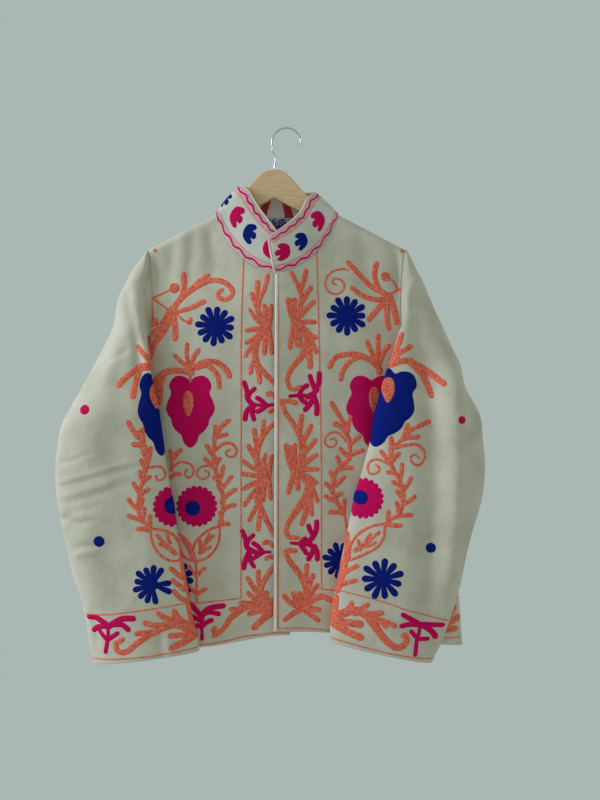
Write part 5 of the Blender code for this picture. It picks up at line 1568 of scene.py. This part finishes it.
# Piping along the collar's upper edge and down its lapped end
collar_inside = inset(collar_form, SHELL)
lift = PIPING_RADIUS * PIPING_LIFT
edge = [line[-1] + (line[-1] - line[-2]).normalized() * lift for line in collar_inside]
piping = add_piece("collar_piping_cord", tube_mesh("collar_piping_cord", edge, PIPING_RADIUS), piping_cream)
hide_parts("collar_piping")

end_line = collar_inside[-1]
middle = len(end_line) // 2
aside = (end_line[middle] - collar_form[-4][middle]).normalized() * lift
end_cord = [point + aside for point in end_line[::2]]
end_piping = add_piece("collar_end_cord", tube_mesh("collar_end_cord", end_cord, PIPING_RADIUS), piping_cream)

# Folded edge of the upper front
strip = []
for i in range(EDGE_ROWS + 1):
    base = panel_point("front_left", -OVER_LAP_AT_NECK, EDGE_START + EDGE_RUN * i / EDGE_ROWS)
    line = []
    for k in range(EDGE_TURNS + 1):
        turn = pi * (k / EDGE_TURNS)
        a = base.x + (-EDGE_FOLD * EDGE_BACK_SHARE + EDGE_FOLD * (1 - cos(turn)) / 2)
        y = panel_y("front_left", a, base.z) - EDGE_LIFT * sin(turn)
        line.append(Vector((a, y, base.z)))
    strip.append(line)
placket_mesh = grid_mesh("front_left_folded_edge", strip[::-1], False)
# Its lighter cream is a painted highlight on the lit fold
placket = add_piece("front_left_folded_edge", placket_mesh, edge_cream_painted_highlight)

# Hanger
outline = hanger_outline()
data = bpy.data.curves.new("hanger_bar", "CURVE")
data.dimensions = "2D"
data.fill_mode = "BOTH"
run = data.splines.new("POLY")
run.points.add(len(outline) - 1)
for place, (a, z) in zip(run.points, outline):
    place.co = (a, z, 0.0, 1.0)
run.use_cyclic_u = True
data.bevel_depth = HANGER_EDGE_ROUND
data.bevel_resolution = 4
data.extrude = HANGER_HALF_THICKNESS - HANGER_EDGE_ROUND
data.offset = -HANGER_EDGE_ROUND
bar = add_piece("hanger_bar", data, beech, across=CENTRE_X + HANGER_CENTRE)
bar.rotation_euler = (pi / 2, -HANGER_LEAN, 0.0)
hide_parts("hanger_wood")

bow = []
for i in range(BOW_TURNS + 1):
    angle = BOW_START + (BOW_END - BOW_START) * i / BOW_TURNS
    bow.append(Vector((BOW_RADIUS * cos(angle), 0.0, BOW_CENTRE_Z + BOW_RADIUS * sin(angle))))
stem = [Vector((x, 0.0, z)) for x, z in STEM]
bend = [spline([bow[-1]] + stem, i / STEM_STEPS) for i in range(1, STEM_STEPS + 1)]
wire_mesh = tube_mesh("hook_wire", bow + bend, WIRE_RADIUS, sides=16, cap=False)
hook = add_piece("hook_wire", wire_mesh, steel, across=0.0)
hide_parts("hanger_hook")
along = Vector((sin(BOW_START), 0.0, -cos(BOW_START)))
cap_points = [bow[0] + along * CAP_LENGTH * k / CAP_RINGS for k in range(CAP_RINGS + 1)]
cap = add_piece("hook_cap", tube_mesh("hook_cap", cap_points, CAP_RADIUS, sides=20), bright_cap, across=0.0)
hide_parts("hook_tip")

# Embroidery on the cloth
works = {}


def work_on(surface, colour, behind=False):
    """The gathered thread work of one colour on one side of one surface."""
    key = (surface, colour, behind)
    if key not in works:
        name = surface + ("_behind_" if behind else "_") + colour
        works[key] = Stitching(name, trees[surface], -1.0 if behind or surface == "back" else 1.0)
    return works[key]


def places_of(surface, points):
    """Where a motif goes: on its own surface, and again on the hidden sides."""
    places = [(surface, False, points)]
    mean_a = sum(a for a, _ in points) / len(points)
    mean_drop = sum(drop for _, drop in points) / len(points)
    if surface.startswith("sleeve"):
        places.append((surface, True, points))
    elif max(abs(a) for a, _ in points) < STRIP_EDGE:
        places.append(("back", False, points))
    elif surface == "front_right" and mean_a < -STRIP_EDGE:
        copies = []
        if not TREE_TOP < mean_drop < TREE_FOOT or abs(mean_a - TREE_MIDDLE) < TREE_STEM:
            copies = [points]
        elif mean_a > TREE_MIDDLE:
            copies = [points, [(2 * TREE_MIDDLE - a, drop) for a, drop in points]]
        for copy in copies:
            places.append(("back", False, copy))
            places.append(("back", False, [(-a, drop) for a, drop in copy]))
    return places


for (surface, colour), rows in STROKES.items():
    for start, end, *numbers in rows:
        for target, behind, moved in places_of(surface, pairs(numbers)):
            work_on(target, colour, behind).stroke(start, end, moved)
for surface, colour, centre, radius, petals, width, lean, missing in ROSETTES:
    for target, behind, moved in places_of(surface, [centre]):
        rosette(work_on(target, colour, behind), moved[0], radius, petals, width, lean, missing)
for surface, colour, centre, radius, scallops, depth, height in DISCS:
    for target, behind, moved in places_of(surface, [centre]):
        edge = scalloped(radius, scallops, depth) if scallops else circle(radius)
        work_on(target, colour, behind).patch(moved[0], edge, height)
for surface, colour, half, centre, wide, tall, lean, height in FRUITS:
    for target, behind, moved in places_of(surface, [centre]):
        edge = both_halves(half, wide, tall, lean)
        work_on(target, colour, behind).patch(moved[0], edge, height)
for surface, width, points in LINES:
    for target, behind, moved in places_of(surface, points):
        work_on(target, "coral", behind).stroke(width, width, moved, LINE_HEIGHT)

# Collar bands and blossoms
collar_works = {colour: CollarStitching("collar_" + colour, collar_form) for colour in LOOKS}
run = collar_works["pink"].runs[-1] / MM
band = run - 2 * BAND_END
waves = round(run / BAND_WAVE)
for up, inner, swing in COLLAR_BANDS:
    count = round(run / BAND_STEP)
    line = [(BAND_END + band * i / count, up) for i in range(count + 1)]
    collar_works["pink"].stroke(BAND_WIDTH, BAND_WIDTH, line, BAND_HEIGHT)
    line = [(a, inner) for a, _ in line]
    collar_works["coral"].stroke(BAND_LINE_WIDTH, BAND_LINE_WIDTH, line, BAND_LINE_HEIGHT)
    count = waves * WAVE_STEPS
    line = [(BAND_END + band * i / count, up + swing * sin(2 * pi * waves * i / count))
            for i in range(count + 1)]
    collar_works["magenta"].stroke(BAND_WAVE_WIDTH, BAND_WAVE_WIDTH, line, BAND_WAVE_HEIGHT)
for colour, along, up, times, lean in BLOSSOMS:
    centre = (along if along > 0 else run + along, up)
    blossom = both_halves(BLOSSOM, times, BLOSSOM_TALLER * times, lean)
    collar_works[colour].patch(centre, blossom, COLLAR_THREAD)
works.update({("collar", colour, False): work for colour, work in collar_works.items()})
for (surface, colour, _), work in works.items():
    piece = work.finish(LOOKS[colour])

# Stage, light and camera
floor_mesh = bpy.data.meshes.new("floor")
turns = [2 * pi * k / FLOOR_SIDES for k in range(FLOOR_SIDES)]
ring = [(FLOOR_RADIUS * cos(turn), FLOOR_RADIUS * sin(turn), FLOOR_Z) for turn in turns]
floor_mesh.from_pydata(ring, [], [tuple(range(FLOOR_SIDES))])
floor = bpy.data.objects.new("floor", floor_mesh)
floor_look, tree, shader, place = new_look("pale_studio_floor", 0.9)
speck = put(tree, "ShaderNodeTexNoise", {"Vector": place, "Scale": 6.0, "Detail": 4.0})
tint = put(tree, "ShaderNodeValToRGB", {"Fac": speck.outputs["Fac"]}, ((0.3, "#C9CFCC"), (0.7, "#D0D5D2")))
tree.links.new(tint.outputs["Color"], shader.inputs["Base Color"])
floor_mesh.materials.append(floor_look)
bpy.context.scene.collection.objects.link(floor)

world = bpy.data.worlds.new("studio")
world.use_nodes = True
backdrop = world.node_tree.nodes["Background"]
backdrop.inputs["Color"].default_value = linear("#AAB7B3")
backdrop.inputs["Strength"].default_value = 1.0
bpy.context.scene.world = world


def add_light(name, place, target, size, power, colour):
    """A soft square light that faces a target."""
    data = bpy.data.lights.new(name, "AREA")
    data.size = size
    data.energy = power
    data.color = linear(colour)[:3]
    lamp = bpy.data.objects.new(name, data)
    lamp.location = place
    lamp.rotation_euler = (Vector(target) - Vector(place)).to_track_quat("-Z", "Y").to_euler()
    bpy.context.scene.collection.objects.link(lamp)


for light in LIGHTS:
    add_light(*light)

camera_data = bpy.data.cameras.new("camera")
camera_data.lens = CAMERA_LENS
camera_data.sensor_fit = "VERTICAL"
camera_data.sensor_height = CAMERA_SENSOR
camera = bpy.data.objects.new("camera", camera_data)
camera.location = CAMERA_PLACE
camera.rotation_euler = (pi / 2, 0.0, 0.0)
bpy.context.scene.collection.objects.link(camera)
bpy.context.scene.camera = camera
bpy.context.scene.view_settings.view_transform = "Standard"
bpy.context.scene.view_settings.look = "None"

bpy.context.view_layer.update()
